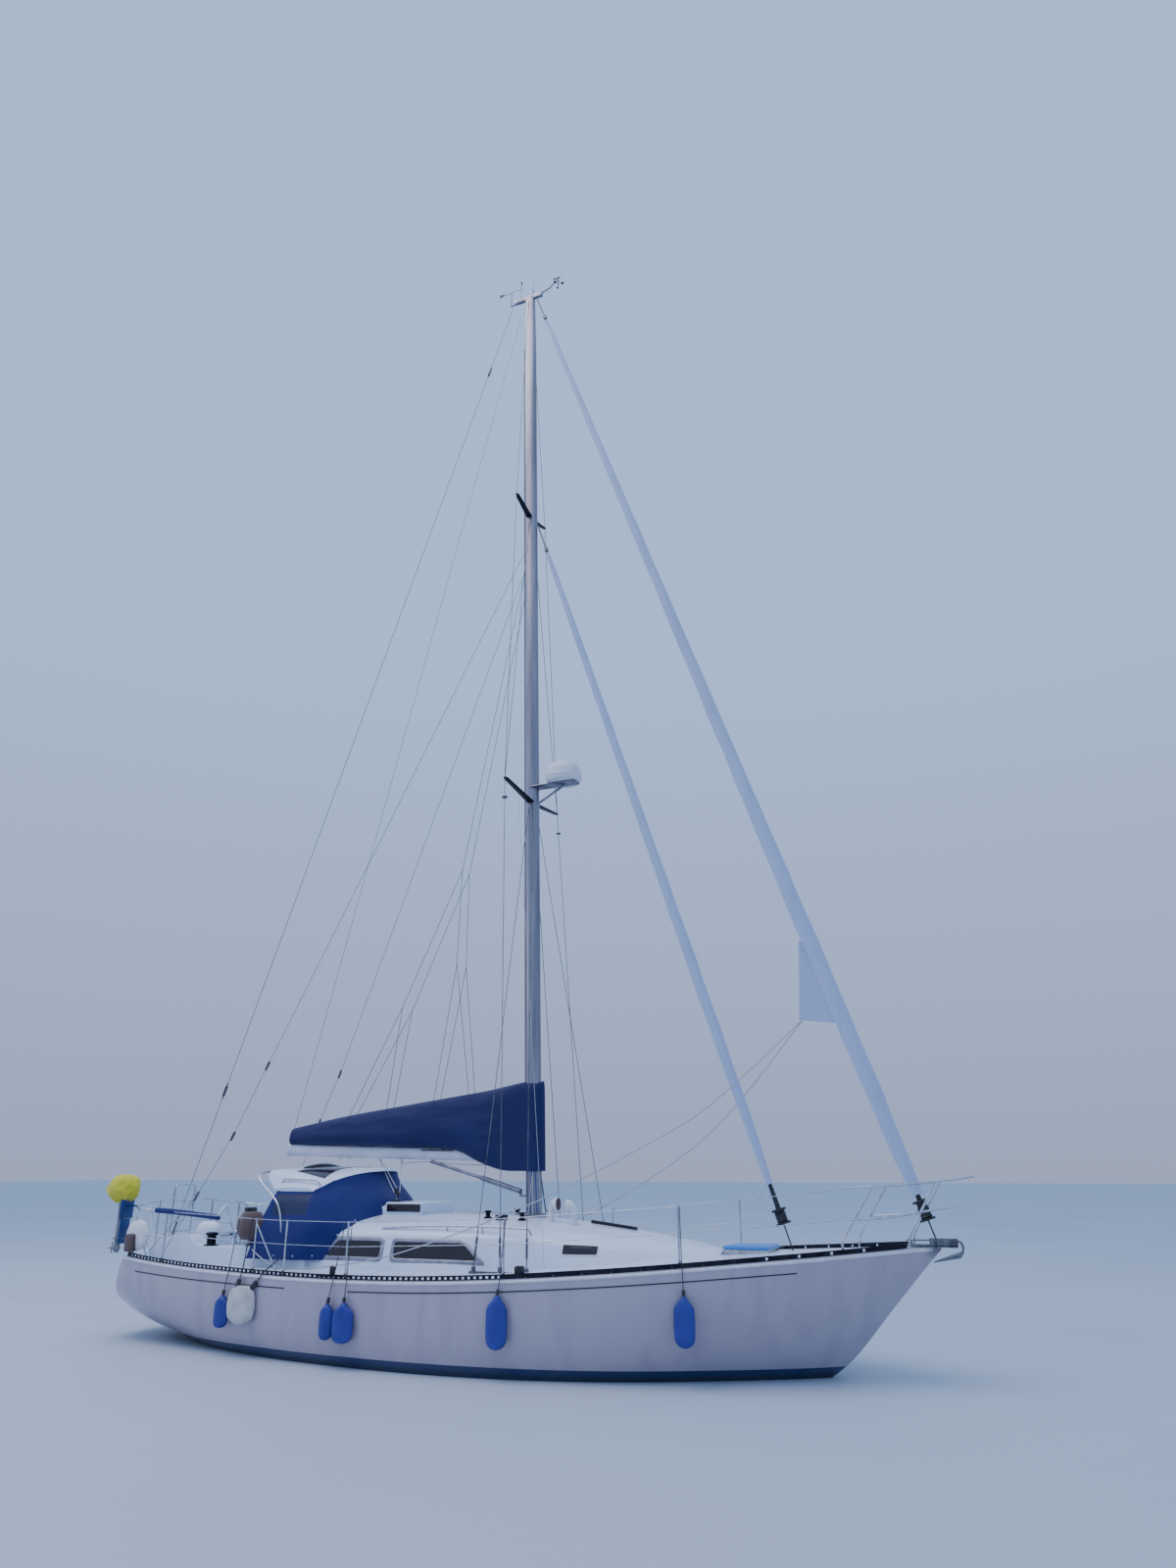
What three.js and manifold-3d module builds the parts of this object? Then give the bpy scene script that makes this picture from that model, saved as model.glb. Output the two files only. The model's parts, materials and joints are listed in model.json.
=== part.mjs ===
// Sailing yacht, masthead sloop with an inner forestay, afloat with its sails furled.
// Millimetres. +X towards the bow, +Y to port, +Z up. Origin on the waterline, amidships.

import * as THREE from 'three';
import { mergeVertices } from 'three/addons/utils/BufferGeometryUtils.js';
import Module from 'manifold-3d';

const wasm = await Module();
wasm.setup();

// Driving dimensions
const HAIR = 0.3; // gap between pieces that touch
const SIDES = [['port', 1], ['starboard', -1]];

const TRANSOM_X = -5020;
const TRANSOM_BOW = 220; // how far the transom bulges aft in plan
const TRANSOM_RAKE = 0.3; // reverse rake, mm aft per mm down
const DRAFT = 1620;

const MAST_FOOT = [425, 0, 1600];
const MAST_HEAD = [55, 0, 16350];
const MAST_SECTION = [210, 145];
const WIRE = 5;

const BOOM_PIVOT = [245, 0, 2220];
const BOOM_END = [-3370, 0, 2315];
const BOOM_HEIGHT = 154;
const BOOM_WIDTH = 105;

const WHEEL_CENTRE = [-4180, 0, 1250];
const WHEEL_RADIUS = 400;

const RUDDER_AXIS_X = -4020;
const SHAFT_FROM = [-2300, 0, -300];
const PROPELLER_CENTRE = [-3420, 0, -545];
const PROPELLER_RADIUS = 205;

// Materials
const finish = (color, roughness, metalness = 0) =>
  new THREE.MeshStandardMaterial({ color, roughness, metalness });
const WHITE = finish(0xe9eaee, 0.3);
const ANTIFOUL = finish(0x1d2f57, 0.8);
const BLACK_RAIL = finish(0x22242a, 0.45, 0.6);
const MAST_GREY = finish(0x9a9aa0, 0.4, 0.8);
const STAINLESS = finish(0xc8cacd, 0.2, 1);
const BRONZE = finish(0x9a7446, 0.4, 1);
const SMOKED = finish(0x2c2326, 0.1);
const BLUE_CANVAS = finish(0x1f3f8c, 0.9);
const SAILCLOTH = finish(0xd9dbe2, 0.8);
const TEAK = finish(0x8a6a4a, 0.7);
const DOME_WHITE = finish(0xf0f1f4, 0.35);
const YELLOW_CANVAS = finish(0xd6cf3e, 0.85);
const HATCH_BLUE = finish(0xa9bfd8, 0.15);
const GREY_PAINT = finish(0x8b8d92, 0.5);

const yacht = new THREE.Group();

// Solids
function solid(geometry) {
  const bare = new THREE.BufferGeometry();
  bare.setAttribute('position', geometry.getAttribute('position').clone());
  if (geometry.index) bare.setIndex(geometry.index.clone());
  const merged = mergeVertices(bare, 1e-3);
  const mesh = new wasm.Mesh({
    numProp: 3,
    vertProperties: new Float32Array(merged.attributes.position.array),
    triVerts: new Uint32Array(merged.index.array),
  });
  return new wasm.Manifold(mesh);
}

function surface(manifold) {
  const mesh = manifold.getMesh();
  const geometry = new THREE.BufferGeometry();
  geometry.setAttribute('position', new THREE.BufferAttribute(new Float32Array(mesh.vertProperties), 3));
  geometry.setIndex(new THREE.BufferAttribute(new Uint32Array(mesh.triVerts), 1));
  geometry.computeVertexNormals();
  return geometry;
}

function joined(parts) {
  return parts.reduce((whole, part) => whole.add(part));
}

function less(whole, cuts) {
  return cuts.reduce((rest, cut) => rest.subtract(cut), whole);
}

// The main body of a cut, without the slivers that the cut leaves
function largest(manifold) {
  return manifold.decompose().sort((a, b) => b.volume() - a.volume())[0];
}

function add(name, manifold, material) {
  const mesh = new THREE.Mesh(surface(largest(manifold)), material);
  mesh.name = name;
  yacht.add(mesh);
}

const block = (low, high) => {
  const size = high.map((value, i) => value - low[i]);
  const geometry = new THREE.BoxGeometry(...size);
  geometry.translate(...low.map((value, i) => value + size[i] / 2));
  return solid(geometry);
};

const vector = (p) => new THREE.Vector3(...p);

// Round bar between two points, with one radius or a radius at each end
function bar(from, to, radius, sides = 6, radiusTo = radius) {
  const a = vector(from);
  const b = vector(to);
  const along = b.clone().sub(a);
  const geometry = new THREE.CylinderGeometry(radiusTo, radius, along.length(), sides);
  geometry.applyQuaternion(new THREE.Quaternion().setFromUnitVectors(
    new THREE.Vector3(0, 1, 0), along.normalize()));
  geometry.translate(...a.add(b).multiplyScalar(0.5).toArray());
  return solid(geometry);
}

// Bent tube through points, as rails and hoops are
function tube(points, radius, steps, sides = 6, closed = false) {
  const path = new THREE.CatmullRomCurve3(points.map(vector), closed, 'centripetal');
  const ring = new THREE.Shape(new THREE.EllipseCurve(0, 0, radius, radius).getPoints(sides).slice(0, -1));
  return solid(new THREE.ExtrudeGeometry(ring, { steps, extrudePath: path, bevelEnabled: false }));
}

// Solid through closed rings that all have the same number of points
function loft(rings) {
  const count = rings[0].length;
  const points = rings.flat();
  const faces = [];
  for (let r = 0; r < rings.length - 1; r += 1) {
    for (let i = 0; i < count; i += 1) {
      const j = (i + 1) % count;
      const a = r * count + i;
      const b = r * count + j;
      faces.push(a, b, b + count, a, b + count, a + count);
    }
  }
  const last = (rings.length - 1) * count;
  const flat = (ring) => {
    const a = vector(ring[0]);
    const spans = ring.map((p) => vector(p).sub(a));
    const normal = new THREE.Vector3();
    for (let i = 1; i < count - 1; i += 1) normal.add(spans[i].clone().cross(spans[i + 1]));
    normal.normalize();
    const u = spans.find((s) => s.length() > 1e-6).clone().normalize();
    const v = normal.clone().cross(u);
    return spans.map((s) => new THREE.Vector2(s.dot(u), s.dot(v)));
  };
  for (const [a, b, c] of THREE.ShapeUtils.triangulateShape(flat(rings[0]), [])) faces.push(a, c, b);
  for (const [a, b, c] of THREE.ShapeUtils.triangulateShape(flat(rings.at(-1)), [])) {
    faces.push(last + a, last + b, last + c);
  }
  const geometry = new THREE.BufferGeometry();
  geometry.setAttribute('position', new THREE.Float32BufferAttribute(points.flat(), 3));
  geometry.setIndex(faces);
  const shape = solid(geometry);
  if (shape.volume() > 0) return shape;
  geometry.setIndex(faces.map((_, i) => faces[i - (i % 3) + 2 - (i % 3)]));
  return solid(geometry);
}

// Flat outline [x, z] or [x, y] pushed through a span of the third axis
function plate(outline, from, to, axis = 'y') {
  const shape = new THREE.Shape(outline.map(([u, v]) => new THREE.Vector2(u, v)));
  const geometry = new THREE.ExtrudeGeometry(shape, { depth: to - from, bevelEnabled: false });
  geometry.translate(0, 0, from);
  if (axis === 'y') {
    geometry.rotateX(Math.PI / 2);
    geometry.scale(1, -1, 1);
    geometry.index = null;
    const p = geometry.attributes.position;
    for (let i = 0; i < p.count; i += 3) {
      const swap = [p.getX(i), p.getY(i), p.getZ(i)];
      p.setXYZ(i, p.getX(i + 1), p.getY(i + 1), p.getZ(i + 1));
      p.setXYZ(i + 1, ...swap);
    }
  }
  return solid(geometry);
}

const lathe = (profile, sides) => {
  const geometry = new THREE.LatheGeometry(profile.map(([r, h]) => new THREE.Vector2(r, h)), sides);
  geometry.rotateX(Math.PI / 2);
  return solid(geometry);
};

const mix = (a, b, t) => a + (b - a) * t;

// A value read from a table of rows [x, ...] by smooth steps between its rows
function along(table, x, column) {
  if (x <= table[0][0]) return table[0][column];
  if (x >= table.at(-1)[0]) return table.at(-1)[column];
  const i = table.findIndex((row) => row[0] > x) - 1;
  const [a, b] = [table[i], table[i + 1]];
  const slope = (k) => {
    const p = table[Math.max(k - 1, 0)];
    const q = table[Math.min(k + 1, table.length - 1)];
    return (q[column] - p[column]) / (q[0] - p[0]);
  };
  const h = b[0] - a[0];
  const t = (x - a[0]) / h;
  const t2 = t * t;
  const t3 = t2 * t;
  return (2 * t3 - 3 * t2 + 1) * a[column] + (t3 - 2 * t2 + t) * h * slope(i)
    + (3 * t2 - 2 * t3) * b[column] + (t3 - t2) * h * slope(i + 1);
}

// Hull lines: x, half breadth at the deck edge, height of the deck edge,
// bottom of the section, fullness across and fullness down
const LINES = [
  [-5020, 1090, 1005, 330, 2.3, 3.0],
  [-4520, 1190, 962, 120, 2.3, 3.2],
  [-3540, 1385, 920, -160, 2.2, 3.5],
  [-1870, 1610, 890, -450, 2.0, 3.8],
  [-480, 1700, 905, -550, 2.0, 4.0],
  [720, 1665, 955, -560, 1.9, 3.6],
  [1790, 1525, 1025, -500, 1.7, 2.9],
  [2690, 1300, 1095, -390, 1.5, 2.2],
  [3530, 985, 1165, -190, 1.35, 1.7],
  [4100, 690, 1210, 100, 1.25, 1.45],
  [4700, 340, 1262, 730, 1.2, 1.3],
  [5060, 115, 1290, 1120, 1.2, 1.2],
  [5200, 28, 1302, 1262, 1.2, 1.2],
];
const deckEdge = (x) => [along(LINES, x, 1), along(LINES, x, 2)];
const CAMBER = 0.045; // deck's rise at the centreline, of its half breadth
const deckTop = (x, y) => {
  const [half, edge] = deckEdge(x);
  return edge + CAMBER * half * Math.max(0, 1 - (y / half) ** 2);
};

function hullRing(x) {
  const [, half, edge, low, across, down] = LINES[0].map((_, c) => along(LINES, x, c));
  const aft = THREE.MathUtils.smoothstep(-x, 3700, -TRANSOM_X);
  const place = (y, z) => [
    x - aft * (TRANSOM_RAKE * (edge - z) + TRANSOM_BOW * (1 - (y / half) ** 2)), y, z];
  const side = [];
  for (const t of [0.07, 0.16, 0.27, 0.4, 0.54, 0.68, 0.8, 0.9, 1]) {
    const angle = t * Math.PI / 2;
    const rise = 1 - Math.cos(angle) ** (2 / down);
    side.push([half * Math.sin(angle) ** (2 / across), mix(low, edge, rise)]);
  }
  const deck = [0.75, 0.4, 0, -0.4, -0.75].map((u) => place(u * half, edge + CAMBER * half * (1 - u * u)));
  return [
    place(0, low),
    ...side.map(([y, z]) => place(y, z)),
    ...deck,
    ...side.reverse().map(([y, z]) => place(-y, z)),
  ];
}

const STATIONS = [-5020, -4800, -4450, -4000, -3500, -2900, -2200, -1400, -500, 400, 1200, 1900, 2600,
  3200, 3700, 4100, 4450, 4750, 5000, 5130, 5200];
const lines = loft(STATIONS.map(hullRing));

// Cockpit: coamings, seats and footwell
// x, top and half breadth of the coaming, which is highest round the helm
const COAMING = [[-4750, 1070, 940], [-4600, 1180, 970], [-4300, 1250, 1010], [-3980, 1250, 1050],
  [-3860, 1160, 1060], [-3600, 1145, 1080], [-2140, 1200, 1080]];
const coamingTop = (x) => along(COAMING, x, 1);
const coamingOut = (x) => along(COAMING, x, 2);
const COCKPIT_AFT = -4560;
const COCKPIT_FORE = -2250;
const SEAT_TOP = 1010;
const SOLE_TOP = 470;
const WELL_HALF = 370;
const SEAT_HALF = [-4560, 760, 940]; // half breadth inside the coaming, aft and forward
const coamingRing = (x) => {
  const out = coamingOut(x);
  return [[x, -out - 25, 700], [x, out + 25, 700], [x, out, coamingTop(x)], [x, -out, coamingTop(x)]];
};
const COAMING_STATIONS = [-4750, -4600, -4450, -4300, -4140, -3980, -3920, -3860, -3600, -2900, -2140];
const coaming = loft(COAMING_STATIONS.map(coamingRing));
const seatOutline = [[COCKPIT_AFT, -SEAT_HALF[1]], [COCKPIT_FORE, -SEAT_HALF[2]],
  [COCKPIT_FORE, SEAT_HALF[2]], [COCKPIT_AFT, SEAT_HALF[1]]];
const seatCut = plate(seatOutline, SEAT_TOP, 2000, 'z');
const wellCut = block([-4480, -WELL_HALF, SOLE_TOP], [COCKPIT_FORE, WELL_HALF, 1500]);

// Cabin: the space under the coachroof, with a sole and a berth at each side
const CABIN_AFT = -2190;
const saloon = block([CABIN_AFT + 100, -380, -240], [1800, 380, 1400]);
const berths = block([CABIN_AFT + 100, -900, 260], [1500, 900, 1400]);
const forePeak = block([1400, -520, 330], [2350, 520, 1400]);
const companionwayCut = block([CABIN_AFT - 120, -290, 620], [CABIN_AFT + 160, 290, 1700]);
const rudderTube = bar([RUDDER_AXIS_X, 0, -200], [RUDDER_AXIS_X, 0, 300], 31.2, 16);
const shaftBore = bar(
  [SHAFT_FROM[0] + 500, 0, SHAFT_FROM[2] + 500 * 0.21875],
  [SHAFT_FROM[0] - 500, 0, SHAFT_FROM[2] - 500 * 0.21875], 22, 12);
const hullSolid = less(lines.add(coaming), [seatCut, wellCut, saloon, berths, forePeak,
  companionwayCut, rudderTube, shaftBore]);
add('hull', hullSolid, WHITE);

const above = hullSolid.translate([0, 0, HAIR]);
const below = hullSolid.translate([0, 0, -HAIR]);
const seated = (part) => less(part, [above, ...[-HAIR, HAIR].map((y) => hullSolid.translate([0, y, 0]))]);

// Ballast fin and rudder blade share one section, chord from front to back
const FOIL = [[0, 0], [0.05, 0.62], [0.2, 0.96], [0.4, 1], [0.7, 0.62], [0.97, 0.08]];
function foilRing(front, back, half, z) {
  const port = FOIL.map(([t, w]) => [mix(front, back, t), w * half, z]);
  const starboard = FOIL.slice(1).reverse().map(([t, w]) => [mix(front, back, t), -w * half, z]);
  return [...port, ...starboard];
}
const keelRings = [[1150, -1050, 105, -300], [950, -900, 92, -640], [620, -830, 78, -1350],
  [560, -820, 88, -1520], [480, -780, 60, -DRAFT]];
add('keel', loft(keelRings.map((row) => foilRing(...row))).subtract(below), ANTIFOUL);

const BLADE_TOP = -95;
const bladeRings = [[-3880, -4420, 42, BLADE_TOP], [-3860, -4390, 38, -700], [-3850, -4300, 26, -1330],
  [-3880, -4250, 12, -1400]];
const stock = bar([RUDDER_AXIS_X, 0, BLADE_TOP - 40], [RUDDER_AXIS_X, 0, 280], 30, 12);
add('rudder', loft(bladeRings.map((row) => foilRing(...row))).add(stock), ANTIFOUL);

// Propeller shaft, strut and propeller
const shaftSlope = (PROPELLER_CENTRE[2] - SHAFT_FROM[2]) / (PROPELLER_CENTRE[0] - SHAFT_FROM[0]);
const onShaft = (x) => [x, 0, SHAFT_FROM[2] + shaftSlope * (x - SHAFT_FROM[0])];
const strutFoot = joined([
  bar(onShaft(-3330), onShaft(-3190), 38, 12),
  bar([-3260, 0, onShaft(-3260)[2]], [-3180, 0, 0], 16, 8),
]);
add('shaft_strut', less(strutFoot, [below, bar(onShaft(-3400), onShaft(-3100), 16.2, 12)]), BRONZE);

const hub = bar(onShaft(PROPELLER_CENTRE[0] - 60), onShaft(PROPELLER_CENTRE[0] + 70), 24, 12, 34);
const blades = [0, 120, 240].map((degrees) => {
  const blade = plate([[-30, 10], [-62, 110], [-40, PROPELLER_RADIUS - 8], [0, PROPELLER_RADIUS],
    [40, PROPELLER_RADIUS - 8], [62, 110], [30, 10]], -4, 4, 'y');
  return blade.rotate([0, 0, 62]).rotate([degrees, 0, 0])
    .rotate([0, -Math.atan(shaftSlope) * THREE.MathUtils.RAD2DEG, 0]).translate(PROPELLER_CENTRE);
});
const shaft = bar(onShaft(-2650), onShaft(PROPELLER_CENTRE[0]), 15, 12);
add('propeller', joined([hub, shaft, ...blades]), BRONZE);

// Toe rail along each deck edge
const RAIL_TOP = 50;
for (const [name, side] of SIDES) {
  const rail = [-4950, -4450, -3700, -2900, -1900, -900, 100, 1100, 1900, 2600, 3200, 3700, 4200, 4600, 4880];
  const rings = rail.map((x) => {
    const [half, edge] = deckEdge(x);
    const y = half - 8;
    return [[x, side * y, edge - 12], [x, side * (y - 34), edge - 12],
      [x, side * (y - 30), edge + 8], [x, side * (y - 6), edge + 8],
      [x, side * (y - 4), edge + RAIL_TOP], [x, side * y, edge + RAIL_TOP]];
  });
  add(`toe_rail_${name}`, largest(seated(loft(rings))), BLACK_RAIL);
}

// Coachroof: x, half breadth at the deck, at the shoulder, height of shoulder and of crown
const ROOF = [
  [-2190, 1050, 930, 1345, 1555],
  [-1200, 1075, 955, 1355, 1545],
  [-200, 1070, 950, 1355, 1535],
  [420, 1045, 920, 1340, 1520],
  [920, 1000, 860, 1310, 1485],
  [1750, 840, 700, 1245, 1390],
  [2250, 660, 520, 1205, 1320],
  [2850, 330, 250, 1150, 1212],
];
const ROOF_WALL = 38;
function roofRing(x, inset, floor) {
  const [, base, shoulder, eave, crown] = ROOF[0].map((_, c) => along(ROOF, x, c));
  const foot = deckTop(x, base) + floor;
  const half = [
    [base - inset, foot],
    [mix(base, shoulder, 0.75) - inset, mix(foot, eave, 0.8)],
    [shoulder - inset, eave - inset * 0.6],
    [shoulder * 0.8 - inset * 0.6, mix(eave, crown, 0.5) - inset],
    [shoulder * 0.4, mix(eave, crown, 0.9) - inset],
  ];
  return [
    ...half.map(([y, z]) => [x, y, z]),
    [x, 0, crown - inset],
    ...half.reverse().map(([y, z]) => [x, -y, z]),
  ];
}
const ROOF_STATIONS = [-2190, -1700, -1200, -200, 420, 920, 1400, 1750, 2250, 2850];
const roofOuter = loft(ROOF_STATIONS.map((x) => roofRing(x, 0, -60)));
const roofInner = loft([-2190 + ROOF_WALL, -1200, -200, 420, 920, 1750, 2250]
  .map((x) => roofRing(x, ROOF_WALL, -120)));

// Windows as [x, z] outlines: the long raked one, the one aft of it and the opening port
const FORE_WINDOW = [[-965, 1035], [285, 1035], [302, 1056], [35, 1285], [0, 1300], [-940, 1300], [-965, 1275]];
const AFT_WINDOW = [[-1960, 1035], [-1090, 1035], [-1065, 1060], [-1065, 1275], [-1090, 1300], [-1740, 1300],
  [-1765, 1288], [-1972, 1056]];
const SIDE_PORT = [[1230, 1165], [1560, 1165], [1590, 1195], [1590, 1225], [1560, 1250], [1230, 1262],
  [1200, 1235], [1200, 1195]];
const OPENINGS = [['window_forward', FORE_WINDOW], ['window_aft', AFT_WINDOW], ['side_port', SIDE_PORT]];
const throughRoof = OPENINGS.map(([, outline]) => plate(outline, -1500, 1500));
const hatchway = block([-2400, -310, 800], [-1560, 310, 1900]);
const RUNNER = [372, 18, 1620]; // offset, half width and top of the rails that the sliding hatch runs on
const runners = [-1, 1].map((side) => block([-2190, side * RUNNER[0] - RUNNER[1], 1480],
  [-900, side * RUNNER[0] + RUNNER[1], RUNNER[2]]).subtract(roofInner));
const HATCH_HOLE = [2900, 3400, 250]; // foredeck hatch, aft edge, fore edge, half width
const coachroof = joined([less(seated(roofOuter), [roofInner, ...throughRoof, hatchway]), ...runners]);
add('coachroof', coachroof, WHITE);

// Panes fill the window holes just inside the wall's outer face
const GLASS_SET = 6;
for (const [name, side] of SIDES) {
  for (const [opening, outline] of OPENINGS) {
    const slab = plate(outline, side > 0 ? 300 : -1500, side > 0 ? 1500 : -300);
    const skin = loft(ROOF_STATIONS.map((x) => roofRing(x, GLASS_SET, -60)))
      .subtract(loft(ROOF_STATIONS.map((x) => roofRing(x, GLASS_SET + 8, -120))));
    const pane = skin.intersect(slab).subtract(coachroof.translate([0, 0, HAIR]))
      .subtract(coachroof.translate([0, 0, -HAIR])).subtract(above);
    add(`${opening}_${name}`, largest(pane), SMOKED);
  }
}

// Companionway: washboards and the sliding hatch on its two runners
const boards = block([CABIN_AFT + 6, -309.4, 625], [CABIN_AFT + 30, 309.4, 1518]);
add('washboards', seated(boards), TEAK);
const hatchShell = joined([
  block([-2260, -353.4, RUNNER[2] - 22], [-1500, 353.4, RUNNER[2] + 10]),
  block([-2262, -300, RUNNER[2] - 68], [-2236, 300, RUNNER[2] + 10]),
]);
add('companionway_hatch', hatchShell, WHITE);
// Hood that the hatch slides into
const HOOD = [-1480, -940, 395]; // aft end, fore end and half breadth
const HOOD_TOP = RUNNER[2] + 52;
const hoodShell = joined([
  block([HOOD[0], -HOOD[2], RUNNER[2] + HAIR], [HOOD[1], HOOD[2], HOOD_TOP]),
  block([HOOD[1] - 22, -HOOD[2], 1440], [HOOD[1], HOOD[2], HOOD_TOP]),
]).subtract(block([HOOD[0] - 20, -366, 1400], [HOOD[1] - 30, 366, RUNNER[2] + 20]));
const besideRoof = [[0, 0, HAIR], [HAIR, 0, 0], [0, HAIR, 0], [0, -HAIR, 0]].map((gap) => coachroof.translate(gap));
add('hatch_hood', less(hoodShell, besideRoof), WHITE);

// Foredeck hatch: a low frame and its hinged lid
const hatchZ = deckTop(3150, 0);
const hatchFrame = block([HATCH_HOLE[0], -HATCH_HOLE[2], hatchZ - 80], [HATCH_HOLE[1], HATCH_HOLE[2], hatchZ + 40]);
add('foredeck_hatch_frame', seated(hatchFrame), STAINLESS);
const lid = block([HATCH_HOLE[0] - 12, -HATCH_HOLE[2] - 12, hatchZ + 40.5],
  [HATCH_HOLE[1] + 12, HATCH_HOLE[2] + 12, hatchZ + 74]);
add('foredeck_hatch', lid, HATCH_BLUE);

// Dodger: hard roof on a blue canvas surround, open aft
const TOP_AFT = -3000;
const TOP_NOSE = [-1500, 0.674, 270]; // the blunt arrow that the roof's front edge follows
const TOP_HALF = 970;
const TOP_THICK = 34;
function topHeight(y) {
  const u = Math.abs(y) / TOP_HALF;
  return 2075 - 30 * Math.min(u, 1) ** 2 - 215 * THREE.MathUtils.smoothstep(u, 0.8, 1.02);
}
function browHeight(y) {
  return 2074 - 241 * Math.min(Math.abs(y) / TOP_HALF, 1) ** 2.6;
}
function dodgerRing(y) {
  const u = Math.abs(y) / TOP_HALF;
  const z = topHeight(y);
  const brow = Math.min(browHeight(y), z);
  const fore = TOP_NOSE[0] - TOP_NOSE[1] * Math.hypot(y, TOP_NOSE[2]);
  const aft = TOP_AFT + 200 * THREE.MathUtils.smoothstep(u, 0.86, 1);
  return [[aft, y, z - TOP_THICK], [aft, y, z], [mix(aft, fore, 0.5), y, mix(z, brow, 0.35) + 14],
    [fore - 60, y, brow + 4], [fore, y, brow - TOP_THICK]];
}
const topSteps = [-1, -0.96, -0.91, -0.85, -0.75, -0.6, -0.3, 0, 0.3, 0.6, 0.75, 0.85, 0.91, 0.96, 1];
const dodgerRoof = loft(topSteps.map((u) => dodgerRing(u * TOP_HALF)));
add('dodger_roof', dodgerRoof, WHITE);

// Canvas surround: two side walls and a raked front, in one bent wall
const CANVAS = 12;
function canvasRing(z, out, aft, corner, shoulder, nose) {
  const side = [[aft, out], [corner, out], shoulder, [nose, 300]];
  const outline = [...side.map(([x, y]) => [x, -y]), ...side.reverse()];
  const inner = outline.map(([x, y]) => [x - (x > aft + 1 ? CANVAS * 1.2 : 0), y - Math.sign(y) * CANVAS]);
  return [...outline, ...inner.reverse()].map(([x, y]) => [x, y, z]);
}
// height, half breadth, aft edge, the corner where the side turns in, the shoulder and the nose
const SURROUND = [[1030, 1195, -2935, -2270, [-1750, 950], -1500], [1260, 1165, -2870, -2140, [-1720, 950], -1470],
  [1390, 1140, -2840, -2040, [-1640, 870], -1450], [1470, 1115, -2820, -2010, [-1680, 835], -1450],
  [1680, 1040, -2760, -2090, [-1840, 800], -1500], [1790, 972, -2740, -2150, [-1945, 790], -1600],
  [1870, 970, -2720, -2170, [-2030, 775], -1680], [2040, 950, -2700, -2180, [-2110, 765], -1790]];
const surround = loft(SURROUND.map((row) => canvasRing(...row)));
// The surround ends where it meets the underside of the hard roof
const overTop = loft([-1.4, -1.02, -0.93, -0.85, -0.6, -0.3, 0, 0.3, 0.6, 0.85, 0.93, 1.02, 1.4].map((u) => {
  const z = topHeight(u * TOP_HALF) - TOP_THICK - HAIR;
  return [[-3300, z], [-3300, 2600], [-900, 2600], [-900, z]].map(([x, up]) => [x, u * TOP_HALF, up]);
}));
const aroundRoof = [-HAIR, 0, HAIR].map((y) => roofOuter.translate([0, y, HAIR]));
const aroundHood = block([HOOD[0] - HAIR, -HOOD[2] - HAIR, 1400], [HOOD[1] + HAIR, HOOD[2] + HAIR, HOOD_TOP + HAIR]);
const aroundTop = [[0, 0, 0], [0, 0, -HAIR], [HAIR, 0, 0], [0, HAIR, 0], [0, -HAIR, 0]].map((gap) => dodgerRoof.translate(gap));
const aroundSlide = block([-2400, -HOOD[2] - HAIR, 1400], [HOOD[0] + 1, HOOD[2] + HAIR, RUNNER[2] + 16]);
const canvasCuts = [above, ...aroundRoof, aroundHood, aroundSlide, overTop, ...aroundTop];
const dodgerCanvas = largest(less(surround, canvasCuts));
add('dodger_canvas', dodgerCanvas, BLUE_CANVAS);

// Starboard half of a bent rail with its port half added
const mirrored = (points) => [...points, ...points.slice(0, -1).reverse().map(([x, y, z]) => [x, -y, z])];

// Stainless grab bow round the dodger's aft edge
const bowHalf = [[-2470, -1145, 1330], [-2605, -1095, 1650], [-2970, -1025, 1925], [-3030, -900, 2020], [-3042, -500, 2050],
  [-3045, 0, 2056]];
const bowPoints = mirrored(bowHalf);
const besideCanvas = [-HAIR, 0, HAIR].map((y) => dodgerCanvas.translate([0, y, 0]));
const grabBow = less(tube(bowPoints, 13, 36), [...besideCanvas, dodgerRoof]);
add('dodger_bow', largest(seated(grabBow)), STAINLESS);

// Stainless handrail on each side of the coachroof, x and height of each foot
const HANDRAIL = [[-1160, 1425], [-270, 1433], [530, 1427], [830, 1410]];
const HANDRAIL_Y = 900;
for (const [name, side] of SIDES) {
  const y = side * HANDRAIL_Y;
  const rail = HANDRAIL.slice(1).map(([x, z], i) => bar([HANDRAIL[i][0], y, HANDRAIL[i][1]], [x, y, z], 12.5, 8));
  const posts = HANDRAIL.map(([x, z]) => bar([x, y, z - 90], [x, y, z + 8], 12.5, 8));
  const whole = joined([...rail, ...posts]).subtract(coachroof.translate([0, 0, HAIR])).subtract(roofInner);
  add(`handrail_${name}`, largest(whole), STAINLESS);
}

// Pulpit at the bow, pushpit at the stern
const RAIL = 13;
const pulpitTop = mirrored([[4350, -600, 1868], [4700, -500, 1890], [5250, -290, 1936], [5560, -130, 1978],
  [5598, 0, 1986]]);
const pulpitMid = mirrored([[4410, -570, 1560], [4800, -450, 1590], [5080, -250, 1640], [5300, -120, 1675],
  [5385, 0, 1688]]);
const pulpitLegs = [-1, 1].flatMap((side) => [
  tube([[4262, side * 535, 1180], [4268, side * 545, 1300], [4300, side * 560, 1390], [4620, side * 530, 1882]],
    RAIL, 10),
  tube([[4900, side * 200, 1240], [4912, side * 205, 1360], [4945, side * 212, 1450], [5240, side * 292, 1934]],
    RAIL, 10),
]);
add('pulpit', seated(joined([tube(pulpitTop, RAIL, 24), tube(pulpitMid, RAIL - 2, 18), ...pulpitLegs])), STAINLESS);

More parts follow.
